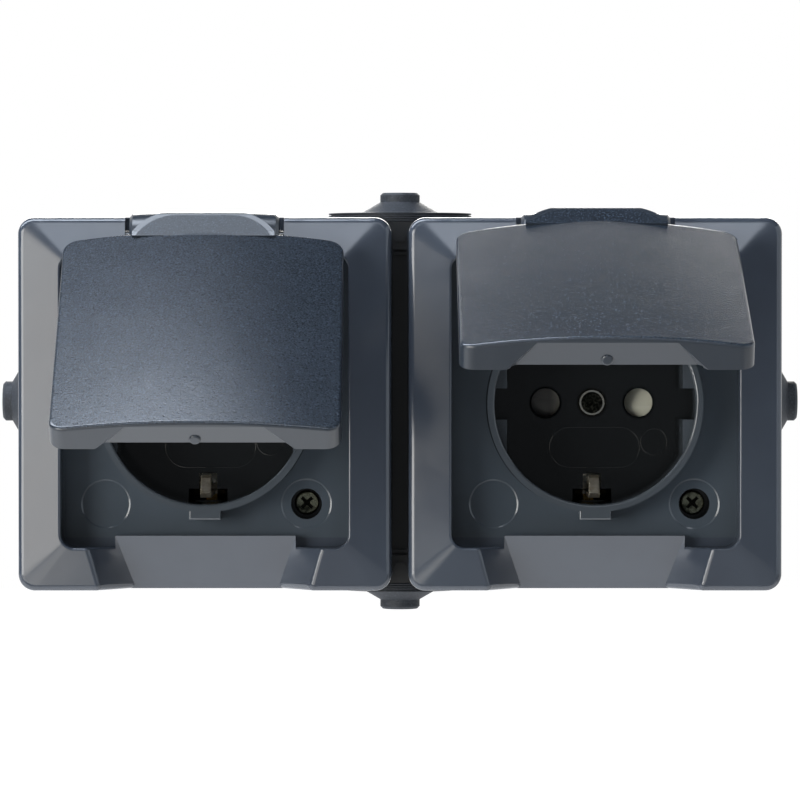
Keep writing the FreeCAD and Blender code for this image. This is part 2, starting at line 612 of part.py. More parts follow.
def cover():
    body = cover_outside()
    recess = slab(-RECESS_HALF, RECESS_HALF, -RECESS_HALF, RECESS_TOP, RECESS_CORNER, RECESS_FLOOR,
                  FRONT + 3)
    body = cut(body, recess)
    block = box(-SCOOP_TOP_HALF, SCOOP_TOP_HALF, RECESS_FLOOR - 1, FRONT - 1, -RECESS_HALF - 1, -SCOOP_TOP)
    body = cut(fuse(body, block), scoop_tool())
    brink = [e for e in body.Edges
             if e.BoundBox.ZMax < -RECESS_HALF + 1.0 and -e.BoundBox.YMin > FRONT - FRAME_SLOPE - 0.6
             and -e.BoundBox.YMax > FRONT - 3.2 and e.BoundBox.ZLength > 3.0
             and SCOOP_MOUTH_FOOT_HALF - 1.5 < abs(e.CenterOfMass.x) < SCOOP_MOUTH_TOP_HALF + 1.0]
    body = body.makeFillet(SCOOP_ROUND, brink)
    rim = [e for e in body.Edges
           if e.BoundBox.YMax < -FRONT + 1.2 and e.BoundBox.YMin > -FRONT - 0.1
           and (abs(abs(e.CenterOfMass.x) - RECESS_HALF) < 0.9
                or abs(e.CenterOfMass.z + RECESS_HALF) < 0.9 or abs(e.CenterOfMass.z - RECESS_TOP) < 0.9)
           and abs(e.CenterOfMass.x) < RECESS_HALF + 0.1
           and -RECESS_HALF - 0.1 < e.CenterOfMass.z < RECESS_TOP + 0.1]
    body = body.makeFillet(RECESS_EDGE, rim)

    inner = COVER / 2 - COVER_WALL
    deck = RECESS_FLOOR - FLOOR_THICK
    hollow = slab(-inner, inner, -inner, inner, 2.0, BASE_DEPTH - 1, deck)
    channel_front = FRONT - FRAME_SLOPE - COVER_WALL - 1.0
    channel = slab(-inner, inner, -inner, inner, 2.0, deck - 1, channel_front)
    wall = RECESS_HALF + COVER_WALL
    core = slab(-wall, wall, -wall, RECESS_TOP + COVER_WALL, 3.0, deck - 2, FRONT)
    scoop_solid = box(-SCOOP_MOUTH_TOP_HALF - 3, SCOOP_MOUTH_TOP_HALF + 3,
                      FRONT - SCOOP_FOOT_FALL - SCOOP_WALL, FRONT, -COVER, -RECESS_HALF + 2)
    ear = SLOT_HALF + EAR_REACH
    ear_solid = box(-ear, ear, deck - 0.5, FRONT, RECESS_HALF, COVER)
    channel = cut(channel, core, scoop_solid, ear_solid)
    hollow = cut(hollow, scoop_solid)
    hollow_half = RIM_INNER - 0.5
    shelf_half = inner + 0.5
    shelf_front = SEAL_SEAT + SEAL_SHELF
    shelf = cut(
        slab(-shelf_half, shelf_half, -shelf_half, shelf_half, 2.0, SEAL_SEAT, shelf_front),
        slab(-hollow_half, hollow_half, -hollow_half, hollow_half, 2.0, SEAL_SEAT - 1, shelf_front + 1),
    )
    body = cut(body, hollow, channel)
    tubes = []
    bores = []
    for x, z in COVER_SCREWS:
        tubes.append(rod(x, z, SCREW_SEAT - SCREW_WELL_FLOOR, deck + 0.5,
                         SCREW_WELL_RADIUS + SCREW_WELL_WALL))
        bores.append(rod(x, z, SCREW_SEAT, FRONT, SCREW_WELL_RADIUS))
        bores.append(rod(x, z, SCREW_SEAT - 3, SCREW_SEAT + 1, SCREW_SHANK_RADIUS + 2 * SCREW_FIT))
        bores.append(sunk_face(x, z, SCREW_RING))
    bores.append(sunk_face(-SCREW_PLACE, -SCREW_PLACE, SUNK_DISC))
    bores.append(rod(0, 0, BASE_DEPTH, FRONT, COLLAR_OUTER + COLLAR_FIT))
    slot_floor = AXIS_DEPTH - BARREL_RADIUS - BARREL_CROWN - SLOT_CLEAR
    bores.append(box(-SLOT_HALF, SLOT_HALF, slot_floor, FRONT + 3, RECESS_TOP - 2, COVER))
    pin = PIN_RADIUS + PIN_FIT
    end = PIN_HALF + 0.3
    bores.append(Part.makeCylinder(pin, 2 * end, Vec(-end, -AXIS_DEPTH, AXIS_HEIGHT), Vec(1, 0, 0)))
    body = fuse(body, shelf, *tubes)
    return cut(body, *bores)


# Lid, modelled closed about the socket's centre and then turned to its resting angle
def lid_arc(z, crown, depth, half, low):
    """Section of the lid across X: a flat back, straight sides and a crowned front."""
    points = [Vec(-half, -low, z), Vec(-half, -depth, z), Vec(0, -(depth + crown), z),
              Vec(half, -depth, z), Vec(half, -low, z)]
    edges = [
        Part.LineSegment(points[0], points[1]).toShape(),
        Part.Arc(points[1], points[2], points[3]).toShape(),
        Part.LineSegment(points[3], points[4]).toShape(),
        Part.LineSegment(points[4], points[0]).toShape(),
    ]
    return Part.Wire(edges)


def crowned_block(inset, drop, low, half_extra=0.0):
    """Crowned solid of the lid's outline, its front lowered by drop."""
    half = LID_HALF + half_extra
    return Part.makeLoft([
        lid_arc(-LID_FOOT + inset, LID_CROWN_FOOT, FRONT - drop, half, low),
        lid_arc(0, LID_CROWN_MIDDLE, FRONT - drop, half, low),
        lid_arc(LID_HEAD - inset, LID_CROWN_HEAD, FRONT - drop, half, low),
    ], True, False)


def grip_tool():
    """Wedge that cuts the finger facet into the lower lip."""
    rear = FRONT - LID_SKIRT - 1.0
    front = FRONT + GRIP_START
    reach = GRIP_CUT * (front - rear) / (front - FRONT + LID_SKIRT)
    spread = (GRIP_HALF_REAR - GRIP_HALF_FRONT) * (front - rear) / (front - FRONT + LID_SKIRT)
    z = -LID_FOOT
    low = z - 1.0
    back_half = GRIP_HALF_FRONT + spread
    points = [
        Vec(-GRIP_HALF_FRONT, -front, z), Vec(GRIP_HALF_FRONT, -front, z),
        Vec(-back_half + reach, -rear, z + reach), Vec(back_half - reach, -rear, z + reach),
        Vec(-back_half, -rear, z), Vec(back_half, -rear, z),
        Vec(-GRIP_HALF_FRONT, -front, low), Vec(GRIP_HALF_FRONT, -front, low),
        Vec(-back_half, -rear, low), Vec(back_half, -rear, low),
    ]
    faces = [(0, 1, 3, 2), (0, 2, 4), (1, 5, 3), (2, 3, 5, 9, 8, 4), (0, 4, 8, 6), (1, 7, 9, 5),
             (0, 6, 7, 1), (6, 8, 9, 7)]
    outlines = [Part.makePolygon([points[i] for i in face + face[:1]]) for face in faces]
    return Part.Solid(Part.Shell([Part.Face(outline) for outline in outlines]))


def line(first, second):
    """Straight edge between two points (x, z)."""
    return Part.LineSegment(Vec(first[0], 0, first[1]), Vec(second[0], 0, second[1])).toShape()


def curve(first, middle, last):
    """Arc through three points (x, z)."""
    return Part.Arc(*(Vec(x, 0, z) for x, z in (first, middle, last))).toShape()


def lid():
    low = FRONT - LID_SKIRT
    outline = slab(-LID_HALF, LID_HALF, -LID_FOOT, LID_HEAD, LID_CORNER, low, FRONT + 6)
    block = crowned_block(0, 0, low - 1, 0.5).common(outline)
    rim = [e for e in block.Edges if -e.BoundBox.YMax > FRONT - 0.4]
    block = block.makeFillet(LID_ROUND, rim)
    wall = LID_WALL + 0.2
    inner = LID_HALF - wall
    space = slab(-inner, inner, -LID_FOOT + wall, LID_HEAD - wall, LID_CORNER - 1.5, low - 1, FRONT + 6)
    space = crowned_block(0, LID_WALL, low - 2, 0.5).common(space)
    shell = cut(block, space)
    shell = cut(shell, box(-LID_HALF, LID_HALF, low - 1, FRONT - LID_HEAD_SKIRT,
                           LID_HEAD - 4, LID_HEAD + 1))
    rib = cut(rod(0, 0, FRONT - SEAL_RIB_FALL, FRONT + 6, SEAL_RIB_OUTER),
              rod(0, 0, low, FRONT + 7, SEAL_RIB_INNER))
    rib = rib.common(crowned_block(0, LID_WALL / 2, low - 2, 0.5))
    grip_end = GRIP_HALF_REAR - GRIP_RISE_INSET
    grip_rise = box(-grip_end, grip_end, low - 1, low + GRIP_RISE, -LID_FOOT - 1, -LID_FOOT + 3)
    shell = cut(fuse(shell, rib), grip_tool(), grip_rise)

    # Hinge barrel with a slight crown, its ends rounded, and the hump in front of it
    edge = BARREL_RADIUS - BARREL_ROUND
    shoulder = BARREL_HALF - BARREL_ROUND
    ring = [
        line((-BARREL_HALF, 0), (-BARREL_HALF, edge)),
        line((-BARREL_HALF, edge), (-shoulder, BARREL_RADIUS)),
        curve((-shoulder, BARREL_RADIUS), (0, BARREL_RADIUS + BARREL_CROWN), (shoulder, BARREL_RADIUS)),
        line((shoulder, BARREL_RADIUS), (BARREL_HALF, edge)),
        line((BARREL_HALF, edge), (BARREL_HALF, 0)),
        line((BARREL_HALF, 0), (-BARREL_HALF, 0)),
    ]
    barrel = Part.Face(Part.Wire(ring)).revolve(Vec(0, 0, 0), Vec(1, 0, 0), 360)
    barrel.translate(Vec(0, -AXIS_DEPTH, AXIS_HEIGHT))

    foot_z = AXIS_HEIGHT - HUMP_FOOT_FALL
    foot_d = AXIS_DEPTH + HUMP_FOOT_REACH
    head_z = AXIS_HEIGHT + HUMP_HEAD_RISE
    head_d = AXIS_DEPTH + HUMP_HEAD_REACH
    side = prism_x([(AXIS_DEPTH, foot_z - 1), (foot_d - 0.2, foot_z - 1), (foot_d, foot_z),
                    (head_d, head_z), (AXIS_DEPTH, head_z)], HUMP_FOOT_HALF + 1)
    swell_x = (HUMP_FOOT_HALF + HUMP_HEAD_HALF) / 2 + HUMP_SWELL_OUT
    swell_z = (foot_z + head_z) / 2 + HUMP_SWELL_UP
    front_edges = [
        line((-HUMP_FOOT_HALF, foot_z - 1), (HUMP_FOOT_HALF, foot_z - 1)),
        line((HUMP_FOOT_HALF, foot_z - 1), (HUMP_FOOT_HALF, foot_z)),
        curve((HUMP_FOOT_HALF, foot_z), (swell_x, swell_z), (HUMP_HEAD_HALF, head_z)),
        line((HUMP_HEAD_HALF, head_z), (-HUMP_HEAD_HALF, head_z)),
        curve((-HUMP_HEAD_HALF, head_z), (-swell_x, swell_z), (-HUMP_FOOT_HALF, foot_z)),
        line((-HUMP_FOOT_HALF, foot_z), (-HUMP_FOOT_HALF, foot_z - 1)),
    ]
    front_view = Part.Face(Part.Wire(front_edges)).extrude(Vec(0, -FRONT - 20, 0))
    hump = side.common(front_view)
    brow = [e for e in hump.Edges if e.BoundBox.ZMax > head_z - 0.1 and -e.BoundBox.YMax > head_d - 0.1]
    hump = hump.makeFillet(HUMP_ROUND, brow)
    neck = box(-BARREL_HALF, BARREL_HALF, FRONT - LID_HEAD_SKIRT, FRONT + 0.3,
               LID_HEAD - LID_WALL, AXIS_HEIGHT - 3)
    neck = neck.common(crowned_block(-3, 0, low, 0.5))
    nub_low = -LID_FOOT + GRIP_CUT * NUB_SHARE - NUB_HEIGHT
    nub = Part.makeCylinder(NUB_RADIUS, 3.0, Vec(0, -(low + GRIP_RISE + NUB_RADIUS + 0.1), nub_low))
    nub = nub.makeFillet(NUB_ROUND, [e for e in nub.Edges if near(e.BoundBox.ZMax, nub_low)])
    body = fuse(shell, barrel, hump, neck, nub)
    bore_start = Vec(-BARREL_HALF - 1, -AXIS_DEPTH, AXIS_HEIGHT)
    bore = Part.makeCylinder(PIN_RADIUS + BORE_FIT, 2 * BARREL_HALF + 2, bore_start, Vec(1, 0, 0))
    return cut(body, bore)


def lid_seal():
    front = FRONT - SEAL_RIB_FALL
    ring = rod(0, 0, front - LID_SEAL_THICK, front, LID_SEAL_OUTER)
    return cut(ring, rod(0, 0, front - LID_SEAL_THICK - 1, front + 1, LID_SEAL_INNER))


def opened(shape, side):
    """Lid piece turned up about the hinge axis to the angle at which its lid rests."""
    moved = shape.copy()
    moved.rotate(Vec(0, -AXIS_DEPTH, AXIS_HEIGHT), Vec(-1, 0, 0), LID_ANGLES[side])
    return at_side(moved, side)


def hinge_pin():
    end = Vec(-PIN_HALF, -AXIS_DEPTH, AXIS_HEIGHT)
    return Part.makeCylinder(PIN_RADIUS, 2 * PIN_HALF, end, Vec(1, 0, 0))


# Socket well with its collar, guides, pin holes and earth slots
def socket_well():
    rim = FRONT - COLLAR_FALL
    body = rod(0, 0, WELL_BACK, rim, COLLAR_OUTER)
    flange_front = RECESS_FLOOR - FLOOR_THICK - WELL_SEAL_THICK
    flange = rod(0, 0, flange_front - WELL_FLANGE_THICK, flange_front, WELL_FLANGE)
    tab = box(-TAB_HALF, TAB_HALF, RECESS_FLOOR + 0.1, rim, -TAB_REACH, -COLLAR_OUTER + 1)
    tab = tab.makeFillet(TAB_ROUND, [e for e in tab.Edges if near(e.BoundBox.YMax, -rim)
                                     and e.CenterOfMass.z < -COLLAR_OUTER + 0.9])
    body = fuse(body, flange, tab)
    bore = rod(0, 0, WELL_DEPTH, rim + 1, COLLAR_INNER)
    guides = []
    for sign in (1, -1):
        guide_front = FRONT - GUIDE_FALL
        section = [(sign * GUIDE_FLAT_FLOOR, WELL_DEPTH - 1), (sign * (COLLAR_OUTER + 1), WELL_DEPTH - 1),
                   (sign * (COLLAR_OUTER + 1), guide_front), (sign * GUIDE_FLAT_FRONT, guide_front)]
        for z0, z1 in ((GUIDE_NOTCH, GUIDE_HALF), (-GUIDE_HALF, -GUIDE_NOTCH)):
            guides.append(prism_z(section, z0, z1))
    body = cut(body, cut(bore, *guides))
    lip = [e for e in body.Edges if e.BoundBox.YLength < 0.01 and near(e.BoundBox.YMin, -rim)
           and e.BoundBox.XLength > 2 * COLLAR_INNER - 1]
    body = body.makeFillet(COLLAR_ROUND, lip)
    hub = rod(0, 0, CARRIER_FRONT, WELL_BACK + 0.5, HUB_RADIUS)
    body = fuse(body, hub)
    holes = []
    for sign in (1, -1):
        x = sign * PIN_SPACING / 2
        holes.append(rod(x, 0, WELL_BACK - 1, WELL_DEPTH + 1, PIN_HOLE))
        holes.append(cone(x, 0, WELL_DEPTH - PIN_HOLE_CHAMFER, WELL_DEPTH + 0.2, PIN_HOLE,
                          PIN_HOLE + PIN_HOLE_CHAMFER + 0.2))
        wide = sorted((sign * EARTH_SLOT_STEP, sign * EARTH_SLOT_FAR))
        thin = sorted((sign * EARTH_SLOT_NEAR, sign * EARTH_SLOT_STEP))
        holes.append(box(-EARTH_SLOT_HALF, EARTH_SLOT_HALF, WELL_BACK - 1, WELL_DEPTH + 1, *wide))
        holes.append(box(-EARTH_SLOT_NEAR_HALF, EARTH_SLOT_NEAR_HALF, WELL_BACK - 1, WELL_DEPTH + 1, *thin))
    holes.append(rod(0, 0, WELL_DEPTH - CENTRE_SINK, WELL_DEPTH + 1, CENTRE_BORE))
    holes.append(rod(0, 0, CARRIER_FRONT - 1, WELL_DEPTH, CENTRE_SHANK + SCREW_FIT))
    return cut(body, *holes)


def well_seal():
    front = RECESS_FLOOR - FLOOR_THICK
    ring = rod(0, 0, front - WELL_SEAL_THICK, front, WELL_FLANGE)
    return cut(ring, rod(0, 0, front - 2, front + 1, COLLAR_OUTER + COLLAR_FIT))


def cover_seal():
    outer = TONGUE_OUTER
    inner = RIM_INNER
    ring = slab(-outer, outer, -outer, outer, TONGUE_CORNER, TONGUE_TOP, SEAL_SEAT)
    return cut(ring, slab(-inner, inner, -inner, inner, RIM_CORNER, TONGUE_TOP - 1, SEAL_SEAT + 1))


def centre_screw():
    seat = WELL_DEPTH - CENTRE_SINK
    front = seat + CENTRE_HEAD_HEIGHT
    head = rod(0, 0, seat, front - CENTRE_CHAMFER, CENTRE_HEAD)
    bevel = cone(0, 0, front - CENTRE_CHAMFER, front, CENTRE_HEAD, CENTRE_HEAD - CENTRE_CHAMFER)
    shank = rod(0, 0, seat - CENTRE_LENGTH, seat, CENTRE_SHANK)
    dish = rod(0, 0, front - CENTRE_DISH, front + 1, CENTRE_DISH_RADIUS)
    recess = cross_recess(0, 0, front - CENTRE_DISH, reach=CENTRE_CROSS_REACH,
                          depth=CENTRE_CROSS_DEPTH)
    return cut(fuse(head, bevel, shank), dish, *recess)


def cover_screws():
    screws = []
    for x, z in COVER_SCREWS:
        head = rod(x, z, SCREW_SEAT, SCREW_HEAD_DEPTH, SCREW_HEAD_RADIUS)
        rim = [e for e in head.Edges if near(e.BoundBox.YMax, -SCREW_HEAD_DEPTH)]
        head = head.makeFillet(SCREW_HEAD_ROUND, rim)
        shank = rod(x, z, SCREW_SEAT - SCREW_SHANK_LENGTH, SCREW_SEAT, SCREW_SHANK_RADIUS)
        screws.append(cut(fuse(head, shank), *cross_recess(x, z, SCREW_HEAD_DEPTH)))
    return Part.makeCompound(screws)


# Shutter that turns about the hub behind the well's floor
def shutter():
    front = SHUTTER_REAR + SHUTTER_THICK
    arms = box(-PIN_SPACING / 2, PIN_SPACING / 2, SHUTTER_REAR, front, -SHUTTER_ARM_HALF, SHUTTER_ARM_HALF)
    parts = [rod(0, 0, SHUTTER_REAR, front, SHUTTER_HUB)]
    for sign in (1, -1):
        parts.append(rod(sign * PIN_SPACING / 2, 0, SHUTTER_REAR, front, SHUTTER_PAD))
    body = fuse(arms, *parts)
    ramps = []
    ramp_half = SHUTTER_PAD + 0.5
    for sign in (1, -1):
        ramp = Part.makeCylinder(RAMP_RADIUS, 2 * ramp_half, Vec(-ramp_half, 0, 0), Vec(1, 0, 0))
        ramp.translate(Vec(sign * (PIN_SPACING / 2 + RAMP_OUT), -(front - SHUTTER_RAMP + RAMP_RADIUS),
                           sign * RAMP_UP))
        ramps.append(ramp)
    hole = rod(0, 0, SHUTTER_REAR - 1, front + 1, HUB_RADIUS + SHUTTER_FIT)
    notch = rod(SPRING_RADIUS, 0, SHUTTER_REAR - 1, SHUTTER_REAR + SPRING_NOTCH, SPRING_WIRE + 0.1)
    return cut(body, hole, notch, *ramps)


def shutter_spring():
    """Small torsion spring round the hub line, with a leg up into the shutter."""
    height = SPRING_TURNS * SPRING_PITCH
    start = CARRIER_FRONT - SPRING_POCKET_DEPTH + SPRING_WIRE + 0.1
    helix = Part.makeHelix(SPRING_PITCH, height, SPRING_RADIUS)
    ring = Part.makeCircle(SPRING_WIRE, Vec(SPRING_RADIUS, 0, 0), Vec(0, 1, 0.03))
    coil = Part.Wire(helix.Edges).makePipeShell([Part.Wire([ring])], True, True)
    leg_top = SHUTTER_REAR + SPRING_LEG - start
    leg = Part.makeCylinder(SPRING_WIRE, leg_top - height + 0.1, Vec(SPRING_RADIUS, 0, height - 0.1))
    body = fuse(coil, leg)
    body.rotate(Vec(0, 0, 0), Vec(1, 0, 0), 90)
    body.translate(Vec(0, -start, 0))
    return body


# Contact carrier with pockets for the contacts, clamps and spring
def carrier():
    half = CARRIER_HALF
    body = slab(-half, half, -half, half, CARRIER_CORNER, CARRIER_BACK, CARRIER_FRONT)
    tools = [
        rod(0, 0, CARRIER_FRONT - SPRING_POCKET_DEPTH, CARRIER_FRONT + 1, SPRING_POCKET),
        rod(0, 0, CARRIER_BACK + 4, CARRIER_FRONT, CENTRE_SHANK + SCREW_FIT),
    ]
    for sign in (1, -1):
        x = sign * PIN_SPACING / 2
        tools.append(rod(x, 0, SLEEVE_BACK - POCKET_FIT, CARRIER_FRONT + 1, SLEEVE_OUTER + POCKET_FIT))
        tools.append(box(x - CLAMP_HALF - POCKET_FIT, x + CLAMP_HALF + POCKET_FIT, CLAMP_DEPTH - POCKET_FIT,
                         CARRIER_FRONT + 1, CLAMP_NEAR - POCKET_FIT, CLAMP_FAR + POCKET_FIT))
        tools.append(box(x - STRIP_HALF - POCKET_FIT, x + STRIP_HALF + POCKET_FIT, SLEEVE_BACK - POCKET_FIT,
                         CARRIER_FRONT + 1, 0, CLAMP_NEAR + 1))
    for depth in LINK_DEPTH.values():
        for x in (-PIN_SPACING / 2, PIN_SPACING / 2):
            tools.append(Part.makeCylinder(CLAMP_WIRE_HOLE + POCKET_FIT, 6, Vec(x, -depth, CLAMP_FAR - 1)))
    slot = EARTH_CLAMP_HALF + POCKET_FIT
    tools.append(box(-slot, slot, EARTH_LINK_DEPTH - EARTH_CLAMP_REAR - POCKET_FIT, CARRIER_FRONT + 1,
                     -half - 1, -BOW_STEM + EARTH_CLAMP_LENGTH + POCKET_FIT))
    return cut(body, *tools)


def pole_contact(pole):
    """Sleeve that grips a plug pin, with a foot strip and a clamp block."""
    x = POLE_SIGN[pole] * PIN_SPACING / 2
    depth = LINK_DEPTH[pole]
    sleeve = cut(rod(x, 0, SLEEVE_BACK, SLEEVE_FRONT, SLEEVE_OUTER),
                 rod(x, 0, SLEEVE_BACK + STRIP_THICK, SLEEVE_FRONT + 1, SLEEVE_INNER),
                 box(x - SLEEVE_OUTER - 1, x + SLEEVE_OUTER + 1, SLEEVE_BACK + SLEEVE_ROOT,
                     SLEEVE_FRONT + 1, -SLEEVE_SLIT / 2, SLEEVE_SLIT / 2))
    foot = box(x - STRIP_HALF, x + STRIP_HALF, SLEEVE_BACK, SLEEVE_BACK + STRIP_THICK, SLEEVE_INNER,
               CLAMP_NEAR + 0.5)
    clamp_top = CLAMP_DEPTH + CLAMP_HEIGHT
    clamp = box(x - CLAMP_HALF, x + CLAMP_HALF, CLAMP_DEPTH, clamp_top, CLAMP_NEAR, CLAMP_FAR)
    wire_hole = Part.makeCylinder(CLAMP_WIRE_HOLE, CLAMP_FAR - CLAMP_NEAR, Vec(x, -depth, CLAMP_NEAR + 1))
    screw_hole = rod(x, CLAMP_MIDDLE, depth, clamp_top + 1, CLAMP_SCREW_RADIUS + SCREW_FIT)
    return cut(fuse(sleeve, foot, clamp), wire_hole, screw_hole)


def earth_bow():
    """Springy bow with a contact nose at the top and the bottom of the well and one clamp block."""
    yoke = CARRIER_BACK - BOW_THICK / 2
    crest = [(BOW_TOP + depth, inward - BOW_STEM) for depth, inward in BOW_CREST]
    stem = [(yoke, 0.0), (yoke, -BOW_STEM)] + crest[:2]
    nose = crest + [(BOW_TOP - NOSE_FALL, -NOSE_REACH), (WELL_DEPTH + 2.0, -NOSE_REACH - NOSE_BACK)]
    tongue = prism_x(strip_section(nose, BOW_THICK), NOSE_HALF)
    tongue = tongue.makeFillet(NOSE_ROUND, [e for e in tongue.Edges if e.BoundBox.XLength < 0.01])
    parts = [prism_x(strip_section(stem, BOW_THICK), BOW_HALF), tongue]
    shoulder = WELL_DEPTH - BOW_SHOULDER
    narrow = [box(x0, x1, shoulder, BOW_TOP + 2, -BOW_STEM - 2, -NOSE_REACH)
              for x0, x1 in ((BOW_NECK_HALF, BOW_HALF + 1), (-BOW_HALF - 1, -BOW_NECK_HALF))]
    half_bow = cut(fuse(*parts), *narrow)
    other = half_bow.mirror(Vec(0, 0, 0), Vec(0, 0, 1))
    clamp = box(-EARTH_CLAMP_HALF, EARTH_CLAMP_HALF, EARTH_LINK_DEPTH - EARTH_CLAMP_REAR,
                EARTH_LINK_DEPTH + EARTH_CLAMP_FRONT, -BOW_STEM, -BOW_STEM + EARTH_CLAMP_LENGTH)
    wire_start = Vec(0, -EARTH_LINK_DEPTH, -BOW_STEM - 1)
    wire_hole = Part.makeCylinder(CLAMP_WIRE_HOLE, EARTH_CLAMP_LENGTH - 1, wire_start)
    screw_hole = rod(0, EARTH_MIDDLE, EARTH_LINK_DEPTH, EARTH_LINK_DEPTH + EARTH_CLAMP_FRONT + 1,
                     CLAMP_SCREW_RADIUS + SCREW_FIT)
    return cut(fuse(half_bow, other, clamp), wire_hole, screw_hole)


def clamp_screw(x, z, top, wire_depth):
    """Screw over a clamp block whose shank ends just in front of the strip in its wire hole."""
    seat = top + CLAMP_SCREW_STAND
    front = seat + CLAMP_HEAD_HEIGHT
    head = rod(x, z, seat, front, CLAMP_HEAD_RADIUS)
    shank = rod(x, z, wire_depth + LINK_THICK / 2 + SCREW_FIT, seat, CLAMP_SCREW_RADIUS)
    end = CLAMP_HEAD_RADIUS + 1
    groove = box(x - end, x + end, front - CLAMP_SLOT, front + 1, z - CLAMP_SLOT / 2, z + CLAMP_SLOT / 2)
    return cut(fuse(head, shank), groove)


def clamp_screws():
    screws = [clamp_screw(POLE_SIGN[pole] * PIN_SPACING / 2, CLAMP_MIDDLE, CLAMP_DEPTH + CLAMP_HEIGHT,
                          LINK_DEPTH[pole]) for pole in POLE_SIGN]
    screws.append(clamp_screw(0, EARTH_MIDDLE, EARTH_LINK_DEPTH + EARTH_CLAMP_FRONT, EARTH_LINK_DEPTH))
    return Part.makeCompound(screws)


def link_strip(x0, x1, z_end, row, depth):
    """Flat strip bent like a staple that joins the same pole of both sockets."""
    rear = depth - LINK_THICK / 2
    front = depth + LINK_THICK / 2
    low, high = sorted((z_end, row))
    bars = [box(x - LINK_HALF, x + LINK_HALF, rear, front, low, high) for x in (x0, x1)]
    bars.append(box(x0 - LINK_HALF, x1 + LINK_HALF, rear, front, row - LINK_HALF, row + LINK_HALF))
    return fuse(*bars)


def main():
    keep("back_box", back_box())
    cable_entries()
    pieces = {
        "cover": cover(),
        "cover_seal": cover_seal(),
        "socket_well": socket_well(),
        "well_seal": well_seal(),
        "centre_screw": centre_screw(),
        "cover_screws": cover_screws(),
        "hinge_pin": hinge_pin(),
        "shutter": shutter(),
        "shutter_spring": shutter_spring(),
        "contact_carrier": carrier(),
        "line_contact": pole_contact("line"),
        "neutral_contact": pole_contact("neutral"),
        "earth_bow": earth_bow(),
        "clamp_screws": clamp_screws(),
    }
    turning = {"lid": lid(), "lid_seal": lid_seal()}
    for side in SIDES:
        for name, shape in pieces.items():
            keep(name + "_" + side, at_side(shape, side))
        for name, shape in turning.items():
            keep(name + "_" + side, opened(shape, side))
    half = PITCH / 2
    for pole, sign in POLE_SIGN.items():
        x = sign * PIN_SPACING / 2
        strip = link_strip(x - half, x + half, CLAMP_FAR - 2, LINK_ROW[pole], LINK_DEPTH[pole])
        keep(pole + "_link", strip)
    keep("earth_link", link_strip(-half, half, -BOW_STEM + 2, -EARTH_LINK_ROW, EARTH_LINK_DEPTH))

    os.makedirs("parts", exist_ok=True)
    for name, shape in SHAPES.items():
        shape.exportStep("parts/" + name + ".step")
        box_ = shape.BoundBox
        print(f"{name:24s} solids {len(shape.Solids)} valid {shape.isValid()} volume {shape.Volume:9.1f}"
              f"  X {box_.XMin:7.2f} {box_.XMax:7.2f}  Y {box_.YMin:7.2f} {box_.YMax:7.2f}"
              f"  Z {box_.ZMin:7.2f} {box_.ZMax:7.2f}")


main()
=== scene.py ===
"""Studio scene of a double weatherproof socket: finishes, small raised details, light and camera.

Metres, X to the right, Z up, the front faces -Y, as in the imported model.
"""
import math

import bmesh
import bpy
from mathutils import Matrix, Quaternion, Vector


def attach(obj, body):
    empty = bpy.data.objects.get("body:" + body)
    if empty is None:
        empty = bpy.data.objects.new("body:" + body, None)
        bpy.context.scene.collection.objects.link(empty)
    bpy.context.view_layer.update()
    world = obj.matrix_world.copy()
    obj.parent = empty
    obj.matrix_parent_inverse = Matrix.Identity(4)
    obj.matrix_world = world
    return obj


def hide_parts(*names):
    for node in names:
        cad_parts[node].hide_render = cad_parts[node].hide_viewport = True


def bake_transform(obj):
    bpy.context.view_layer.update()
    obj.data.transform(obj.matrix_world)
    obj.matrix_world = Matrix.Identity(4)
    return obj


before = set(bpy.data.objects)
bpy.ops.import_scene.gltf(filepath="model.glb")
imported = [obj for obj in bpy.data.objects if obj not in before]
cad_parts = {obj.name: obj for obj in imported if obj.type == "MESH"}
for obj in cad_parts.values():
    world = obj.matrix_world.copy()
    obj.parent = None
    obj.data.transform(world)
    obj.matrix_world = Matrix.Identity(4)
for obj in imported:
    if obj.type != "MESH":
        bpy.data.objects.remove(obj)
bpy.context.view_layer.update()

# Places of the two sockets and of their lids, in metres, and how far each lid is open, in degrees
SOCKET_X = {"left": -0.03925, "right": 0.03925}
HINGE_Y = -0.049
HINGE_Z = 0.03335
LID_OPEN = {"left": 50.0, "right": 67.0}
WELL_FLOOR_Y = -0.0335
SCREW_PLACE = 0.0203

# Where the masks of the painted shade and painted light on the smooth finishes begin and where
# they are full, in metres, and the width of a soft edge
RECESS_SIDE = (0.0305, 0.0300)
BOX_EDGE_SIDE = (0.0335, 0.0345)
BOX_EDGE_DEPTH = (-0.0180, -0.0240)
WING = (-0.0040, -0.0088)
SCREW_WELL_RADIUS = (0.00325, 0.00318)
SCREW_WELL_DEPTH = (-0.0434, -0.0428)
SOFT_EDGE = 0.0004

# The same for the grained parts of a lid, in millimetres from the hinge's axis
OFF_BARREL = (5.55, 5.7)
PAD_LEVEL_HALF = 4.7
PAD_ARC_MIDDLE = -10.47
PAD_ARC_RADIUS = (9.85, 9.7)
PAD_TOP = (-0.8, -0.95)
PAD_FOOT = (-6.2, -5.9)
FACE_TOP = (-4.9, -5.1)
FACING_OUT = (-0.45, -0.62)

# Depth of the grain's relief in metres, share of its painted highlight on the high points and
# painted shade in the hollows, and how much duller the pad at the hinge is than the face
LID_RELIEF = {"left": 0.000020, "right": 0.000022}
LID_SPARKLE = {"left": 0.8, "right": 0.9}
PAD_DULLER = {"left": 0.34, "right": 0.0}


def bright(red, green, blue):
    """Linear colour of a shade given as 0 to 255."""
    shades = []
    for value in (red, green, blue):
        share = value / 255
        shades.append(share / 12.92 if share <= 0.04045 else ((share + 0.055) / 1.055) ** 2.4)
    return (*shades, 1.0)


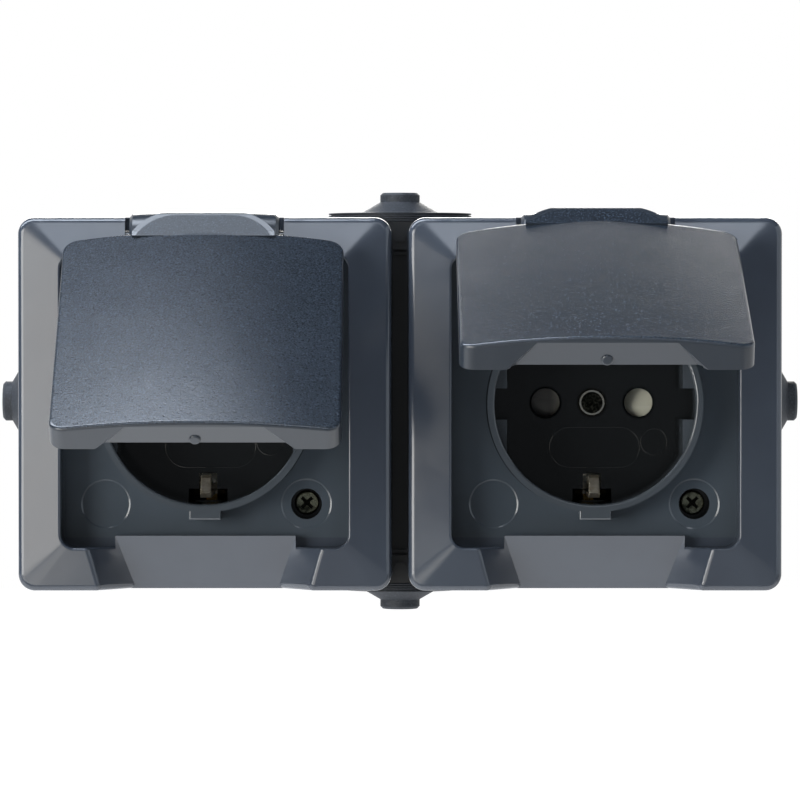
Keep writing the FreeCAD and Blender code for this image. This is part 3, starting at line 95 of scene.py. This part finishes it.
def place(tree, kind, inputs=None, **settings):
    """Adds a node, sets its settings, and links or fills its inputs."""
    made = tree.nodes.new(kind)
    for name, value in settings.items():
        setattr(made, name, value)
    for name, value in (inputs or {}).items():
        socket = made.inputs[name]
        if isinstance(value, bpy.types.NodeSocket):
            tree.links.new(value, socket)
        else:
            socket.default_value = value
    return made


def step_of(tree, operation, first, second=0.0, third=0.0):
    """One arithmetic step on values or sockets."""
    made = place(tree, "ShaderNodeMath", {0: first, 1: second, 2: third}, operation=operation)
    return made.outputs[0]


def product_of(tree, first, second):
    return step_of(tree, "MULTIPLY", first, second)


def ramp_between(tree, value, low, high, low_out=0.0, high_out=1.0):
    """Smooth change from low_out to high_out while value goes from low to high."""
    made = place(tree, "ShaderNodeMapRange", {
        "Value": value, "From Min": low, "From Max": high, "To Min": low_out, "To Max": high_out,
    }, interpolation_type="SMOOTHSTEP")
    return made.outputs["Result"]


def blend_colours(tree, share, first, second):
    """First colour where share is 0, second colour where it is 1."""
    made = place(tree, "ShaderNodeMix", {"Factor": share}, data_type="RGBA")
    for socket, value in ((made.inputs[6], first), (made.inputs[7], second)):
        if isinstance(value, bpy.types.NodeSocket):
            tree.links.new(value, socket)
        else:
            socket.default_value = value
    return made.outputs[2]


def effect(name, inputs, outputs):
    """Empty node group with named sockets. An input's start value is None where it is a vector."""
    tree = bpy.data.node_groups.new(name, "ShaderNodeTree")
    for label, start in inputs.items():
        kind = "NodeSocketVector" if start is None else "NodeSocketFloat"
        socket = tree.interface.new_socket(label, in_out="INPUT", socket_type=kind)
        if start is not None:
            socket.default_value = start
    for label, kind in outputs.items():
        tree.interface.new_socket(label, in_out="OUTPUT", socket_type=kind)
    return tree, tree.nodes.new("NodeGroupInput").outputs, tree.nodes.new("NodeGroupOutput").inputs


# Effects that several finishes share

def make_mould_grain():
    """Fine pebbled grain of a spark-eroded mould: its height, its high points and its hollows."""
    tree, given, out = effect(
        "mould_grain", {"Position": None, "Grain per metre": 4000.0, "Unevenness": 0.5},
        {"Height": "NodeSocketFloat", "Peak": "NodeSocketFloat", "Hollow": "NodeSocketFloat"})
    fine = place(tree, "ShaderNodeTexNoise", {
        "Vector": given["Position"], "Scale": given["Grain per metre"],
        "Detail": 2.0, "Roughness": 0.55})
    wide = place(tree, "ShaderNodeTexNoise", {
        "Vector": given["Position"], "Scale": product_of(tree, given["Grain per metre"], 0.31),
        "Detail": 1.0})
    uneven = product_of(tree, wide.outputs["Fac"], given["Unevenness"])
    height = step_of(tree, "ADD", fine.outputs["Fac"], uneven)
    tree.links.new(height, out["Height"])
    tree.links.new(ramp_between(tree, fine.outputs["Fac"], 0.52, 0.74), out["Peak"])
    tree.links.new(ramp_between(tree, fine.outputs["Fac"], 0.48, 0.28), out["Hollow"])
    return tree


def make_moulded_shade():
    """Slow change of shade and gloss over a moulding, with the soft ripple of its surface."""
    tree, given, out = effect(
        "moulded_shade", {"Position": None, "Patches per metre": 60.0},
        {"Shade": "NodeSocketFloat", "Gloss": "NodeSocketFloat", "Ripple": "NodeSocketFloat"})
    patch = place(tree, "ShaderNodeTexNoise", {
        "Vector": given["Position"], "Scale": given["Patches per metre"],
        "Detail": 3.0, "Roughness": 0.6})
    smear = place(tree, "ShaderNodeTexNoise", {
        "Vector": given["Position"], "Scale": product_of(tree, given["Patches per metre"], 2.1),
        "Detail": 5.0, "Roughness": 0.7})
    ripple = place(tree, "ShaderNodeTexNoise", {
        "Vector": given["Position"], "Scale": product_of(tree, given["Patches per metre"], 5.0),
        "Detail": 1.0})
    tree.links.new(ramp_between(tree, patch.outputs["Fac"], 0.2, 0.8), out["Shade"])
    tree.links.new(ramp_between(tree, smear.outputs["Fac"], 0.2, 0.8), out["Gloss"])
    tree.links.new(ripple.outputs["Fac"], out["Ripple"])
    return tree


def make_turning_marks():
    """Rings and fine scratches that a lathe or a press leaves on metal."""
    tree, given, out = effect("turning_marks", {"Position": None, "Marks per metre": 9000.0},
                              {"Height": "NodeSocketFloat", "Tarnish": "NodeSocketFloat"})
    streak = place(tree, "ShaderNodeMapping", {
        "Vector": given["Position"], "Scale": (1.0, 0.08, 0.35)})
    marks = place(tree, "ShaderNodeTexNoise", {
        "Vector": streak.outputs["Vector"], "Scale": given["Marks per metre"], "Detail": 3.0})
    stain = place(tree, "ShaderNodeTexNoise", {
        "Vector": given["Position"], "Scale": product_of(tree, given["Marks per metre"], 0.06),
        "Detail": 4.0, "Roughness": 0.6})
    tree.links.new(marks.outputs["Fac"], out["Height"])
    tree.links.new(ramp_between(tree, stain.outputs["Fac"], 0.35, 0.68), out["Tarnish"])
    return tree


mould_grain = make_mould_grain()
moulded_shade = make_moulded_shade()
turning_marks = make_turning_marks()


def put_effect(tree, group, inputs):
    """Places a shared effect in a material and returns its outputs."""
    made = place(tree, "ShaderNodeGroup", node_tree=group)
    for name, value in inputs.items():
        if isinstance(value, bpy.types.NodeSocket):
            tree.links.new(value, made.inputs[name])
        else:
            made.inputs[name].default_value = value
    return made.outputs


def start_finish(name, **constants):
    """Material with one Principled shader whose fixed values are set on its own sockets."""
    material = bpy.data.materials.new(name)
    material.use_nodes = True
    tree = material.node_tree
    shader = tree.nodes["Principled BSDF"]
    for label, value in constants.items():
        shader.inputs[label.replace("_", " ")].default_value = value
    position = tree.nodes.new("ShaderNodeTexCoord").outputs["Object"]
    return material, tree, shader, position


def relief(tree, shader, height, depth):
    """Bump of a given depth in metres on the shader."""
    made = place(tree, "ShaderNodeBump", {"Height": height, "Distance": depth, "Strength": 1.0})
    tree.links.new(made.outputs["Normal"], shader.inputs["Normal"])


def socket_axes(tree, position):
    """Place across and up from the middle of the nearer socket, and the depth, in metres."""
    axes = place(tree, "ShaderNodeSeparateXYZ", {"Vector": position}).outputs
    middle = product_of(tree, step_of(tree, "SIGN", axes["X"]), SOCKET_X["right"])
    return step_of(tree, "SUBTRACT", axes["X"], middle), axes["Z"], axes["Y"]


def length_of(tree, first, second):
    """Length of a line from its two parts at right angles to each other."""
    squares = (step_of(tree, "POWER", part, 2.0) for part in (first, second))
    return step_of(tree, "SQRT", step_of(tree, "ADD", *squares))


def distance_from(tree, across, up, x, z):
    """Distance, seen from the front, from a point of the nearer socket."""
    return length_of(tree, step_of(tree, "SUBTRACT", across, x), step_of(tree, "SUBTRACT", up, z))


def gloss_plastic(name, dark, light, rough=(0.13, 0.18), deep=None, screw_wells=None, painted_shade_wing=None,
                  outer_edges=None):
    """Smooth moulding with slow changes of shade, handling smears and a faint ripple.

    deep gives the depths between which the shade changes to another one, the lowest height of that
    and the shade: painted light on the housing's recess floor, painted shade in the well. The other
    three give the painted shade of the screw wells, of one wing of a shutter and of the outer front
    edges of the box.
    """
    material, tree, shader, position = start_finish(name, IOR=1.5)
    slow = put_effect(tree, moulded_shade, {"Position": position, "Patches per metre": 45.0})
    colour = blend_colours(tree, slow["Shade"], dark, light)
    across, up, depth = socket_axes(tree, position)
    # Painted light or painted shade by depth inside the recess: lighter on the housing's recess floor,
    # darker in the well
    if deep:
        start, end, lowest, shade = deep
        above = ramp_between(tree, up, lowest - SOFT_EDGE, lowest)
        aside, off_level = (step_of(tree, "ABSOLUTE", way) for way in (across, up))
        reach = step_of(tree, "MAXIMUM", aside, off_level)
        within = ramp_between(tree, reach, *RECESS_SIDE)
        sunk = product_of(tree, ramp_between(tree, depth, start, end), above)
        sunk = product_of(tree, sunk, within)
        colour = blend_colours(tree, sunk, colour, shade)
    # Painted shade on the back box's outer front edges, in the groove between the two covers
    if outer_edges:
        beyond = ramp_between(tree, step_of(tree, "ABSOLUTE", across), *BOX_EDGE_SIDE)
        in_front = ramp_between(tree, depth, *BOX_EDGE_DEPTH)
        colour = blend_colours(tree, product_of(tree, beyond, in_front), colour, outer_edges)
    # Painted shade on the left wing of each shutter, which the well's wall shades
    if painted_shade_wing:
        colour = blend_colours(tree, ramp_between(tree, across, *WING), colour, painted_shade_wing)
    # Painted shade in the cover's screw wells
    if screw_wells:
        first = distance_from(tree, across, up, SCREW_PLACE, -SCREW_PLACE)
        second = distance_from(tree, across, up, -SCREW_PLACE, SCREW_PLACE)
        inside = ramp_between(tree, step_of(tree, "MINIMUM", first, second), *SCREW_WELL_RADIUS)
        sunk = ramp_between(tree, depth, *SCREW_WELL_DEPTH)
        colour = blend_colours(tree, product_of(tree, inside, sunk), colour, screw_wells)
    tree.links.new(colour, shader.inputs["Base Color"])
    tree.links.new(ramp_between(tree, slow["Gloss"], 0.0, 1.0, *rough), shader.inputs["Roughness"])
    relief(tree, shader, slow["Ripple"], 0.0000015)
    return material


def grained_plastic(name, dark, light, rough, grain, grain_depth, where=None, ior=1.5, sparkle=0.5):
    """Moulding with a pebbled grain whose points are lighter and whose hollows are darker: a painted
    highlight and a painted shade.

    where makes two masks: one of the grain, with smooth plastic where it is 0, and one that is added
    to the roughness.
    """
    material, tree, shader, position = start_finish(name, IOR=ior)
    slow = put_effect(tree, moulded_shade, {"Position": position, "Patches per metre": 50.0})
    fine = put_effect(tree, mould_grain, {"Position": position, "Grain per metre": grain})
    area, pad = where(tree, position) if where else (None, None)
    peak, hollow, height = fine["Peak"], fine["Hollow"], fine["Height"]
    rough_now = ramp_between(tree, slow["Gloss"], 0.0, 1.0, rough - 0.01, rough + 0.01)
    if area:
        peak, hollow, height = (product_of(tree, part, area) for part in (peak, hollow, height))
        smooth = ramp_between(tree, slow["Gloss"], 0.0, 1.0, 0.28, 0.32)
        gap = step_of(tree, "SUBTRACT", rough_now, smooth)
        rough_now = step_of(tree, "ADD", pad, step_of(tree, "MULTIPLY_ADD", gap, area, smooth))
    colour = blend_colours(tree, slow["Shade"], dark, light)
    # Painted highlight on the grain's high points and painted shade in its hollows
    colour = blend_colours(tree, product_of(tree, peak, sparkle), colour,
                           tuple(value * 2.4 for value in light[:3]) + (1.0,))
    colour = blend_colours(tree, product_of(tree, hollow, sparkle), colour,
                           tuple(value * 0.4 for value in dark[:3]) + (1.0,))
    tree.links.new(colour, shader.inputs["Base Color"])
    tree.links.new(rough_now, shader.inputs["Roughness"])
    relief(tree, shader, height, grain_depth)
    return material


def metal(name, clean, stained, rough=(0.22, 0.38), marks=9000.0, depth=0.000001, dish=None,
          recess=None, dark_sides=None):
    """Plated or bare metal with tool marks and tarnish.

    dish gives the radius and two shades of a rough dish in each socket's middle, a painted dark
    reflection. recess gives the depth of a face and the painted shade behind it. dark_sides gives
    the half width of the bright middle and the painted shade beside it.
    """
    material, tree, shader, position = start_finish(name, Metallic=1.0)
    work = put_effect(tree, turning_marks, {"Position": position, "Marks per metre": marks})
    colour = blend_colours(tree, work["Tarnish"], clean, stained)
    across, up, deep = socket_axes(tree, position)
    # Painted dark reflection in a dimpled dish in the middle of the screw
    if dish:
        radius, dish_light, dish_dark = dish
        from_middle = distance_from(tree, across, up, 0.0, 0.0)
        dimple = place(tree, "ShaderNodeTexVoronoi", {"Vector": position, "Scale": marks * 0.28})
        pattern = ramp_between(tree, dimple.outputs["Distance"], 0.25, 0.6)
        in_dish = ramp_between(tree, from_middle, radius, radius * 0.95)
        dish_painted_reflection = blend_colours(tree, pattern, dish_light, dish_dark)
        colour = blend_colours(tree, in_dish, colour, dish_painted_reflection)
    # Painted shade on the earth bow beside its bright middle, where the arms lie in the dark slot
    if dark_sides:
        half_width, shade = dark_sides
        aside = step_of(tree, "ABSOLUTE", across)
        beside = ramp_between(tree, aside, half_width, half_width + 0.0003)
        colour = blend_colours(tree, beside, colour, shade)
    # Painted shade behind the face, in the cross recess of the cover screws
    if recess:
        face, shade = recess
        in_recess = ramp_between(tree, deep, face + 0.0001, face + 0.0004)
        colour = blend_colours(tree, in_recess, colour, shade)
    tree.links.new(colour, shader.inputs["Base Color"])
    tree.links.new(ramp_between(tree, work["Tarnish"], 0.0, 1.0, *rough), shader.inputs["Roughness"])
    relief(tree, shader, work["Height"], depth)
    return material


# Part of a lid that carries the grain

def lid_grain_area(side):
    """Gives the function that makes a lid's two masks.

    The first is the grained face and hinge pad, without barrel, rim, skirts and lip. The second is
    the dullness of the pad.
    """
    def mask(tree, position):
        angle = math.radians(LID_OPEN[side])
        hinge = (SOCKET_X[side], HINGE_Y, HINGE_Z)
        arm = place(tree, "ShaderNodeVectorMath", {0: position, 1: hinge},
                    operation="SUBTRACT").outputs[0]
        closed = place(tree, "ShaderNodeMapping", {
            "Vector": arm, "Rotation": (angle, 0.0, 0.0), "Scale": (1000.0, 1000.0, 1000.0)})
        axes = place(tree, "ShaderNodeSeparateXYZ", {"Vector": closed.outputs["Vector"]}).outputs
        across = step_of(tree, "ABSOLUTE", axes["X"])
        forward = product_of(tree, axes["Y"], -1.0)
        height = axes["Z"]
        off_barrel = ramp_between(tree, length_of(tree, forward, height), *OFF_BARREL)

        # The pad's outline is level in the middle and bends down to both ends of the barrel
        past_level = step_of(tree, "MAXIMUM", step_of(tree, "SUBTRACT", across, PAD_LEVEL_HALF), 0.0)
        from_arc_z = step_of(tree, "SUBTRACT", height, PAD_ARC_MIDDLE)
        in_arc = ramp_between(tree, length_of(tree, past_level, from_arc_z), *PAD_ARC_RADIUS)
        on_pad = product_of(tree, in_arc, ramp_between(tree, height, *PAD_TOP))
        face_or_pad = step_of(tree, "MAXIMUM", on_pad, ramp_between(tree, height, *FACE_TOP))

        turned_back = place(tree, "ShaderNodeMapping", {
            "Vector": tree.nodes["Texture Coordinate"].outputs["Normal"],
            "Rotation": (angle, 0.0, 0.0)}, vector_type="NORMAL")
        facing = place(tree, "ShaderNodeSeparateXYZ", {"Vector": turned_back.outputs["Vector"]})
        outside = ramp_between(tree, facing.outputs["Y"], *FACING_OUT)
        grained = product_of(tree, product_of(tree, off_barrel, face_or_pad), outside)
        above_face = ramp_between(tree, height, *PAD_FOOT)
        pad = product_of(tree, product_of(tree, grained, on_pad), above_face)
        return grained, product_of(tree, pad, PAD_DULLER[side])
    return mask


# Finishes, one for each kind of piece

# Housing: painted light on the recess floor and painted shade in the screw wells
HOUSING = gloss_plastic(
    "housing_anthracite", bright(52, 57, 66), bright(56, 62, 71),
    deep=(-0.0466, -0.0452, -0.0269, bright(60, 67, 74)), screw_wells=bright(14, 15, 16))
# Back box: painted shade on its outer front edges
BACK_BOX = gloss_plastic(
    "back_box_anthracite", bright(19, 21, 25), bright(22, 25, 29), rough=(0.40, 0.46),
    outer_edges=bright(6, 6, 7))
# Well: painted shade, darker deeper into the well
WELL = gloss_plastic(
    "socket_well_anthracite", bright(59, 64, 69), bright(63, 68, 73), rough=(0.08, 0.12),
    deep=(-0.0445, -0.0385, -0.03, bright(16, 18, 19)))
# The grained finishes carry a painted highlight on the grain's points and a painted shade in its
# hollows
LID = {side: grained_plastic(
    "lid_grained_" + side, bright(33, 39, 46), bright(36, 42, 50), 0.21, 2800.0,
    LID_RELIEF[side], where=lid_grain_area(side), sparkle=LID_SPARKLE[side]) for side in SOCKET_X}
ENTRY = grained_plastic(
    "cable_entry_rubber", bright(40, 43, 48), bright(46, 49, 54), 0.6, 2600.0, 0.000008, ior=1.36)
SEAL = grained_plastic(
    "seal_rubber", bright(20, 21, 22), bright(27, 28, 30), 0.7, 2200.0, 0.00001)
# Shutter: painted shade on its left wing
SHUTTER = gloss_plastic(
    "shutter_cream", bright(178, 176, 158), bright(186, 184, 168), rough=(0.36, 0.44),
    painted_shade_wing=bright(12, 12, 11))
CARRIER = gloss_plastic(
    "carrier_dark", bright(38, 38, 38), bright(44, 44, 43), rough=(0.45, 0.55))
# Centre screw: painted dark reflection in its middle dish
CENTRE_SCREW = metal(
    "centre_screw_nickel", bright(206, 204, 196), bright(150, 147, 138), rough=(0.16, 0.26),
    dish=(0.00225, bright(62, 62, 55), bright(21, 22, 19)))
CLAMP_SCREW = metal(
    "clamp_screw_nickel", bright(186, 184, 176), bright(130, 127, 118), rough=(0.2, 0.34))
# Cover screws: painted shade in the cross recess
COVER_SCREW = metal(
    "cover_screw_passivated", bright(128, 130, 114), bright(38, 40, 34), rough=(0.2, 0.36),
    depth=0.000004, recess=(-0.0372, bright(24, 24, 21)))
PIN = metal("pin_steel", bright(58, 58, 58), bright(40, 40, 39))
SPRING = metal("spring_steel", bright(190, 190, 188), bright(150, 148, 142), marks=14000.0)
BRASS = metal("contact_brass", bright(201, 168, 104), bright(158, 124, 70))
# Earth bow: painted shade on its arms
BOW = metal(
    "earth_bow_nickel", bright(214, 206, 190), bright(176, 164, 142), rough=(0.4, 0.5),
    dark_sides=(0.0014, bright(46, 40, 30)))

FINISHES = {
    "back_box": BACK_BOX, "cover": HOUSING, "socket_well": WELL, "cable_entry": ENTRY,
    "cover_seal": SEAL, "well_seal": SEAL, "lid_seal": SEAL, "shutter_spring": SPRING,
    "shutter": SHUTTER, "contact_carrier": CARRIER, "centre_screw": CENTRE_SCREW,
    "cover_screws": COVER_SCREW, "clamp_screws": CLAMP_SCREW, "hinge_pin": PIN,
    "line_contact": BRASS, "neutral_contact": BRASS, "line_link": BRASS, "neutral_link": BRASS,
    "earth_link": BRASS, "earth_bow": BOW,
}


def finish_of(node_name):
    """Finish of a piece: each lid has its own, the others go by the longest stem of their name."""
    for side in SOCKET_X:
        if node_name == "lid_" + side:
            return LID[side]
    stems = [stem for stem in FINISHES if node_name == stem or node_name.startswith(stem + "_")]
    return FINISHES[max(stems, key=len)]


for node_name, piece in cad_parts.items():
    piece.data.materials.clear()
    piece.data.materials.append(finish_of(node_name))


# Faint raised outlines round the bare fields on each well floor

FIELD_WIDE = (-0.0086, 0.0098)
FIELD_HIGH = (-0.0132, -0.0050)
SPOT_PLACE = (0.0127, -0.0080)
SPOT_RADIUS = 0.0027
LINE_WIDTH = 0.0003
LINE_HEIGHT = 0.00003
LINE_SUNK = 0.00002


def rounded_outline(wide, high, steps=20):
    """Points of a field with half-round ends, and the outward direction at each."""
    radius = (high[1] - high[0]) / 2
    middle = (high[0] + high[1]) / 2
    outline = []
    for centre, start in ((wide[1] - radius, -90.0), (wide[0] + radius, 90.0)):
        for step in range(steps + 1):
            turn = math.radians(start + 180.0 * step / steps)
            outward = (math.cos(turn), math.sin(turn))
            outline.append(((centre + radius * outward[0], middle + radius * outward[1]), outward))
    return outline


def round_outline(centre, radius, steps=48):
    """The same for a round field."""
    outline = []
    for step in range(steps):
        turn = math.tau * step / steps
        outward = (math.cos(turn), math.sin(turn))
        outline.append(((centre[0] + radius * outward[0], centre[1] + radius * outward[1]), outward))
    return outline


def raised_line(name, side, outline):
    """Low rounded ridge along a closed outline on the floor of one well."""
    section = []
    for step in range(7):
        turn = math.pi * step / 6
        section.append((math.cos(turn) * LINE_WIDTH / 2, LINE_HEIGHT * math.sin(turn)))
    mesh = bpy.data.meshes.new(name)
    shape = bmesh.new()
    rows = []
    for point, outward in outline:
        row = []
        for offset, rise in section:
            x = SOCKET_X[side] + point[0] + outward[0] * offset
            z = point[1] + outward[1] * offset
            row.append(shape.verts.new((x, WELL_FLOOR_Y + LINE_SUNK - rise, z)))
        rows.append(row)
    for first, second in zip(rows, rows[1:] + rows[:1]):
        for low in range(len(section) - 1):
            shape.faces.new((first[low], first[low + 1], second[low + 1], second[low]))
        shape.faces.new((first[-1], first[0], second[0], second[-1]))
    bmesh.ops.recalc_face_normals(shape, faces=shape.faces)
    for face in shape.faces:
        face.smooth = True
    shape.to_mesh(mesh)
    shape.free()
    ridge = bpy.data.objects.new(name, mesh)
    bpy.context.scene.collection.objects.link(ridge)
    mesh.materials.append(WELL)
    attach(ridge, "housing")


for side in SOCKET_X:
    raised_line("field_outline_" + side, side, rounded_outline(FIELD_WIDE, FIELD_HIGH))
    raised_line("spot_outline_" + side, side, round_outline(SPOT_PLACE, SPOT_RADIUS))


# Each shutter's spring twists in the socket, its foot staying in the carrier and its leg turning
# with the shutter; here it is a still copy of the CAD piece, which is hidden


def twisting_spring(side):
    """Copy of the shutter's spring, moved to its place in the world, with the CAD piece hidden."""
    node = "shutter_spring_" + side
    spring = bpy.data.objects.new("twisting_spring_" + side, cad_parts[node].data.copy())
    bpy.context.scene.collection.objects.link(spring)
    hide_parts(node)
    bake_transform(spring)


for side in SOCKET_X:
    twisting_spring(side)


# Studio: strength of the room's light on matt surfaces, and places in metres

ROOM_LIGHT = 0.05
FLOOR_Z = -0.28
LOW_Z = -0.27
ROOM_LEFT = -1.9
ROOM_RIGHT = 1.6
ROOM_FRONT = -2.4
ROOM_HIGH = 2.6
SIDE_CARD_BACK = 1.2
FRONT_MIDDLE = (0.0, -0.05, 0.0)
SHADOW_REACH = (0.3, 0.9)
FLOOR_GLOW = (0.6, 1.0)


def plain_sheet(name, corners):
    """Four-cornered sheet that belongs to the studio."""
    mesh = bpy.data.meshes.new(name)
    mesh.from_pydata(corners, [], [(0, 1, 2, 3)])
    sheet = bpy.data.objects.new(name, mesh)
    bpy.context.scene.collection.objects.link(sheet)
    return sheet


def seen_directly(tree):
    """1 for rays that come from the camera, from gloss or through glass."""
    path = tree.nodes.new("ShaderNodeLightPath").outputs
    first = step_of(tree, "MAXIMUM", path["Is Camera Ray"], path["Is Glossy Ray"])
    return step_of(tree, "MAXIMUM", first, path["Is Transmission Ray"])


def white_world():
    """White for the camera, gloss and glass, and a faint light for everything else."""
    world = bpy.data.worlds.new("white_room")
    bpy.context.scene.world = world
    world.use_nodes = True
    tree = world.node_tree
    ground = tree.nodes["Background"]
    ground.inputs["Color"].default_value = (1.0, 1.0, 1.0, 1.0)
    strength = step_of(tree, "MULTIPLY_ADD", seen_directly(tree), 1.0 - ROOM_LIGHT, ROOM_LIGHT)
    tree.links.new(strength, ground.inputs["Strength"])


def pale_floor():
    """Floor below the socket: white further out, lit near the middle so that the shadow stays."""
    corners = [(x, y, FLOOR_Z) for x, y in ((-3, -3), (3, -3), (3, 4), (-3, 4))]
    floor = plain_sheet("floor", corners)
    material = bpy.data.materials.new("floor_white")
    material.use_nodes = True
    tree = material.node_tree
    tree.nodes.remove(tree.nodes["Principled BSDF"])
    output = tree.nodes["Material Output"]
    position = tree.nodes.new("ShaderNodeTexCoord").outputs["Object"]
    from_middle = place(tree, "ShaderNodeVectorMath", {0: position, 1: (0.0, -0.05, FLOOR_Z)},
                        operation="DISTANCE").outputs["Value"]
    lift = ramp_between(tree, from_middle, *SHADOW_REACH, *FLOOR_GLOW)
    glow = place(tree, "ShaderNodeEmission", {"Strength": product_of(tree, lift, seen_directly(tree))})
    matt = place(tree, "ShaderNodeBsdfDiffuse", {"Color": (0.4, 0.4, 0.4, 1.0)})
    top = place(tree, "ShaderNodeAddShader", {0: glow.outputs[0], 1: matt.outputs[0]})
    clear = place(tree, "ShaderNodeBsdfTransparent")
    behind = tree.nodes.new("ShaderNodeNewGeometry").outputs["Backfacing"]
    both = place(tree, "ShaderNodeMixShader", {0: behind, 1: top.outputs[0], 2: clear.outputs[0]})
    tree.links.new(both.outputs[0], output.inputs["Surface"])
    floor.data.materials.append(material)


def gloss_card(name, corners, glow):
    """Card that only gloss can see. A dark one keeps the white room out, a bright one gives shine."""
    card = plain_sheet(name, corners)
    material = bpy.data.materials.new(name)
    material.use_nodes = True
    tree = material.node_tree
    tree.nodes.remove(tree.nodes["Principled BSDF"])
    shine = place(tree, "ShaderNodeEmission", {"Color": (*glow, 1.0), "Strength": 1.0})
    tree.links.new(shine.outputs[0], tree.nodes["Material Output"].inputs["Surface"])
    card.data.materials.append(material)
    card.visible_camera = False
    card.visible_diffuse = False
    card.visible_shadow = False
    card.visible_transmission = False


def softbox(name, place_at, aim_at, width, height, level, colour=(1.0, 1.0, 1.0), glossy=True,
            turn=0.0):
    """Rectangular lamp of one brightness per area, aimed at a point and turned about its own axis by
    some degrees, with or without its reflection."""
    lamp = bpy.data.lights.new(name, "AREA")
    lamp.shape = "RECTANGLE"
    lamp.size = width
    lamp.size_y = height
    lamp.energy = level * 4 * width * height
    lamp.color = colour
    holder = bpy.data.objects.new(name, lamp)
    bpy.context.scene.collection.objects.link(holder)
    holder.location = place_at
    direction = Vector(aim_at) - Vector(place_at)
    aimed = direction.to_track_quat("-Z", "Y") @ Quaternion((0.0, 0.0, 1.0), math.radians(turn))
    holder.rotation_euler = aimed.to_euler()
    holder.visible_camera = False
    holder.visible_glossy = glossy


white_world()
pale_floor()
gloss_card("card_front", [(-3, ROOM_FRONT, LOW_Z), (3, ROOM_FRONT, LOW_Z),
                          (3, ROOM_FRONT, ROOM_HIGH), (-3, ROOM_FRONT, ROOM_HIGH)],
           (0.12, 0.13, 0.14))
for name, side_x, glow in (("card_right", ROOM_RIGHT, (1.25, 1.38, 1.52)),
                           ("card_left", ROOM_LEFT, (0.0, 0.0, 0.0))):
    gloss_card(name, [(side_x, ROOM_FRONT, LOW_Z), (side_x, SIDE_CARD_BACK, LOW_Z),
                      (side_x, SIDE_CARD_BACK, ROOM_HIGH), (side_x, ROOM_FRONT, ROOM_HIGH)], glow)
for name, height, back, glow in (("card_top", 1.06, 1.10, (0.05, 0.055, 0.065)),
                                 ("card_low", -0.275, -0.28, (0.45, 0.46, 0.47))):
    gloss_card(name, [(ROOM_LEFT, ROOM_FRONT, height), (ROOM_RIGHT, ROOM_FRONT, height),
                      (ROOM_RIGHT, back, height), (ROOM_LEFT, back, height)], glow)
gloss_card("bounce_low", [(-0.75, -1.25, LOW_Z), (-0.10, -1.25, LOW_Z),
                          (-0.10, -0.5, LOW_Z), (-0.75, -0.5, LOW_Z)],
           (3.5, 3.4, 3.2))
gloss_card("bounce_left", [(-0.50, -1.33, -0.42), (-0.50, -1.33, 0.42),
                           (-0.78, -1.19, 0.42), (-0.78, -1.19, -0.42)],
           (5.9, 5.65, 5.2))
gloss_card("bounce_front", [(-0.6, -1.36, 0.48), (0.6, -1.36, 0.48),
                            (0.6, -1.50, 0.82), (-0.6, -1.50, 0.82)],
           (4.7, 5.1, 5.7))
gloss_card("bounce_rear", [(-0.5, 2.5, 0.25), (0.7, 2.5, 0.25), (0.7, 2.5, 1.7), (-0.5, 2.5, 1.7)],
           (12.0, 11.8, 11.4))

softbox("overhead_softbox", (-0.952, -0.075, 1.0), (-0.952, -0.075, 0.0), 1.94, 0.48, 10.4,
        (0.80, 0.88, 1.0), turn=-13.5)
softbox("front_softbox", (0.0, -1.20, 1.05), FRONT_MIDDLE, 0.9, 0.30, 3.4, (0.87, 0.93, 1.0))
softbox("left_softbox", (-1.06, -1.02, 0.0), FRONT_MIDDLE, 0.80, 0.9, 7.3, (1.0, 0.99, 0.95))
softbox("fill_softbox", (-0.85, -0.95, 0.05), FRONT_MIDDLE, 0.4, 0.4, 5.0, (0.90, 0.95, 1.0),
        glossy=False)
softbox("right_fill_softbox", (0.45, -0.95, 0.60), FRONT_MIDDLE, 0.5, 0.3, 4.2, (0.85, 0.92, 1.0),
        glossy=False)
softbox("low_softbox", (0.0, -0.11, -0.27), (0.0, -0.10, 0.0), 0.9, 0.34, 0.8)


LENS = 213.2
SENSOR_WIDTH = 36.0
CAMERA_PLACE = (0.0, -1.002, 0.020)
TILT_DOWN = 1.1518


def set_camera():
    """Camera a metre before the front and just above its middle, with a slight tilt downwards."""
    data = bpy.data.cameras.new("camera")
    data.lens = LENS
    data.sensor_width = SENSOR_WIDTH
    data.clip_start = 0.01
    camera = bpy.data.objects.new("camera", data)
    bpy.context.scene.collection.objects.link(camera)
    camera.location = CAMERA_PLACE
    camera.rotation_euler = (math.radians(90 - TILT_DOWN), 0.0, 0.0)
    bpy.context.scene.camera = camera


set_camera()
bpy.context.scene.view_settings.view_transform = "Standard"
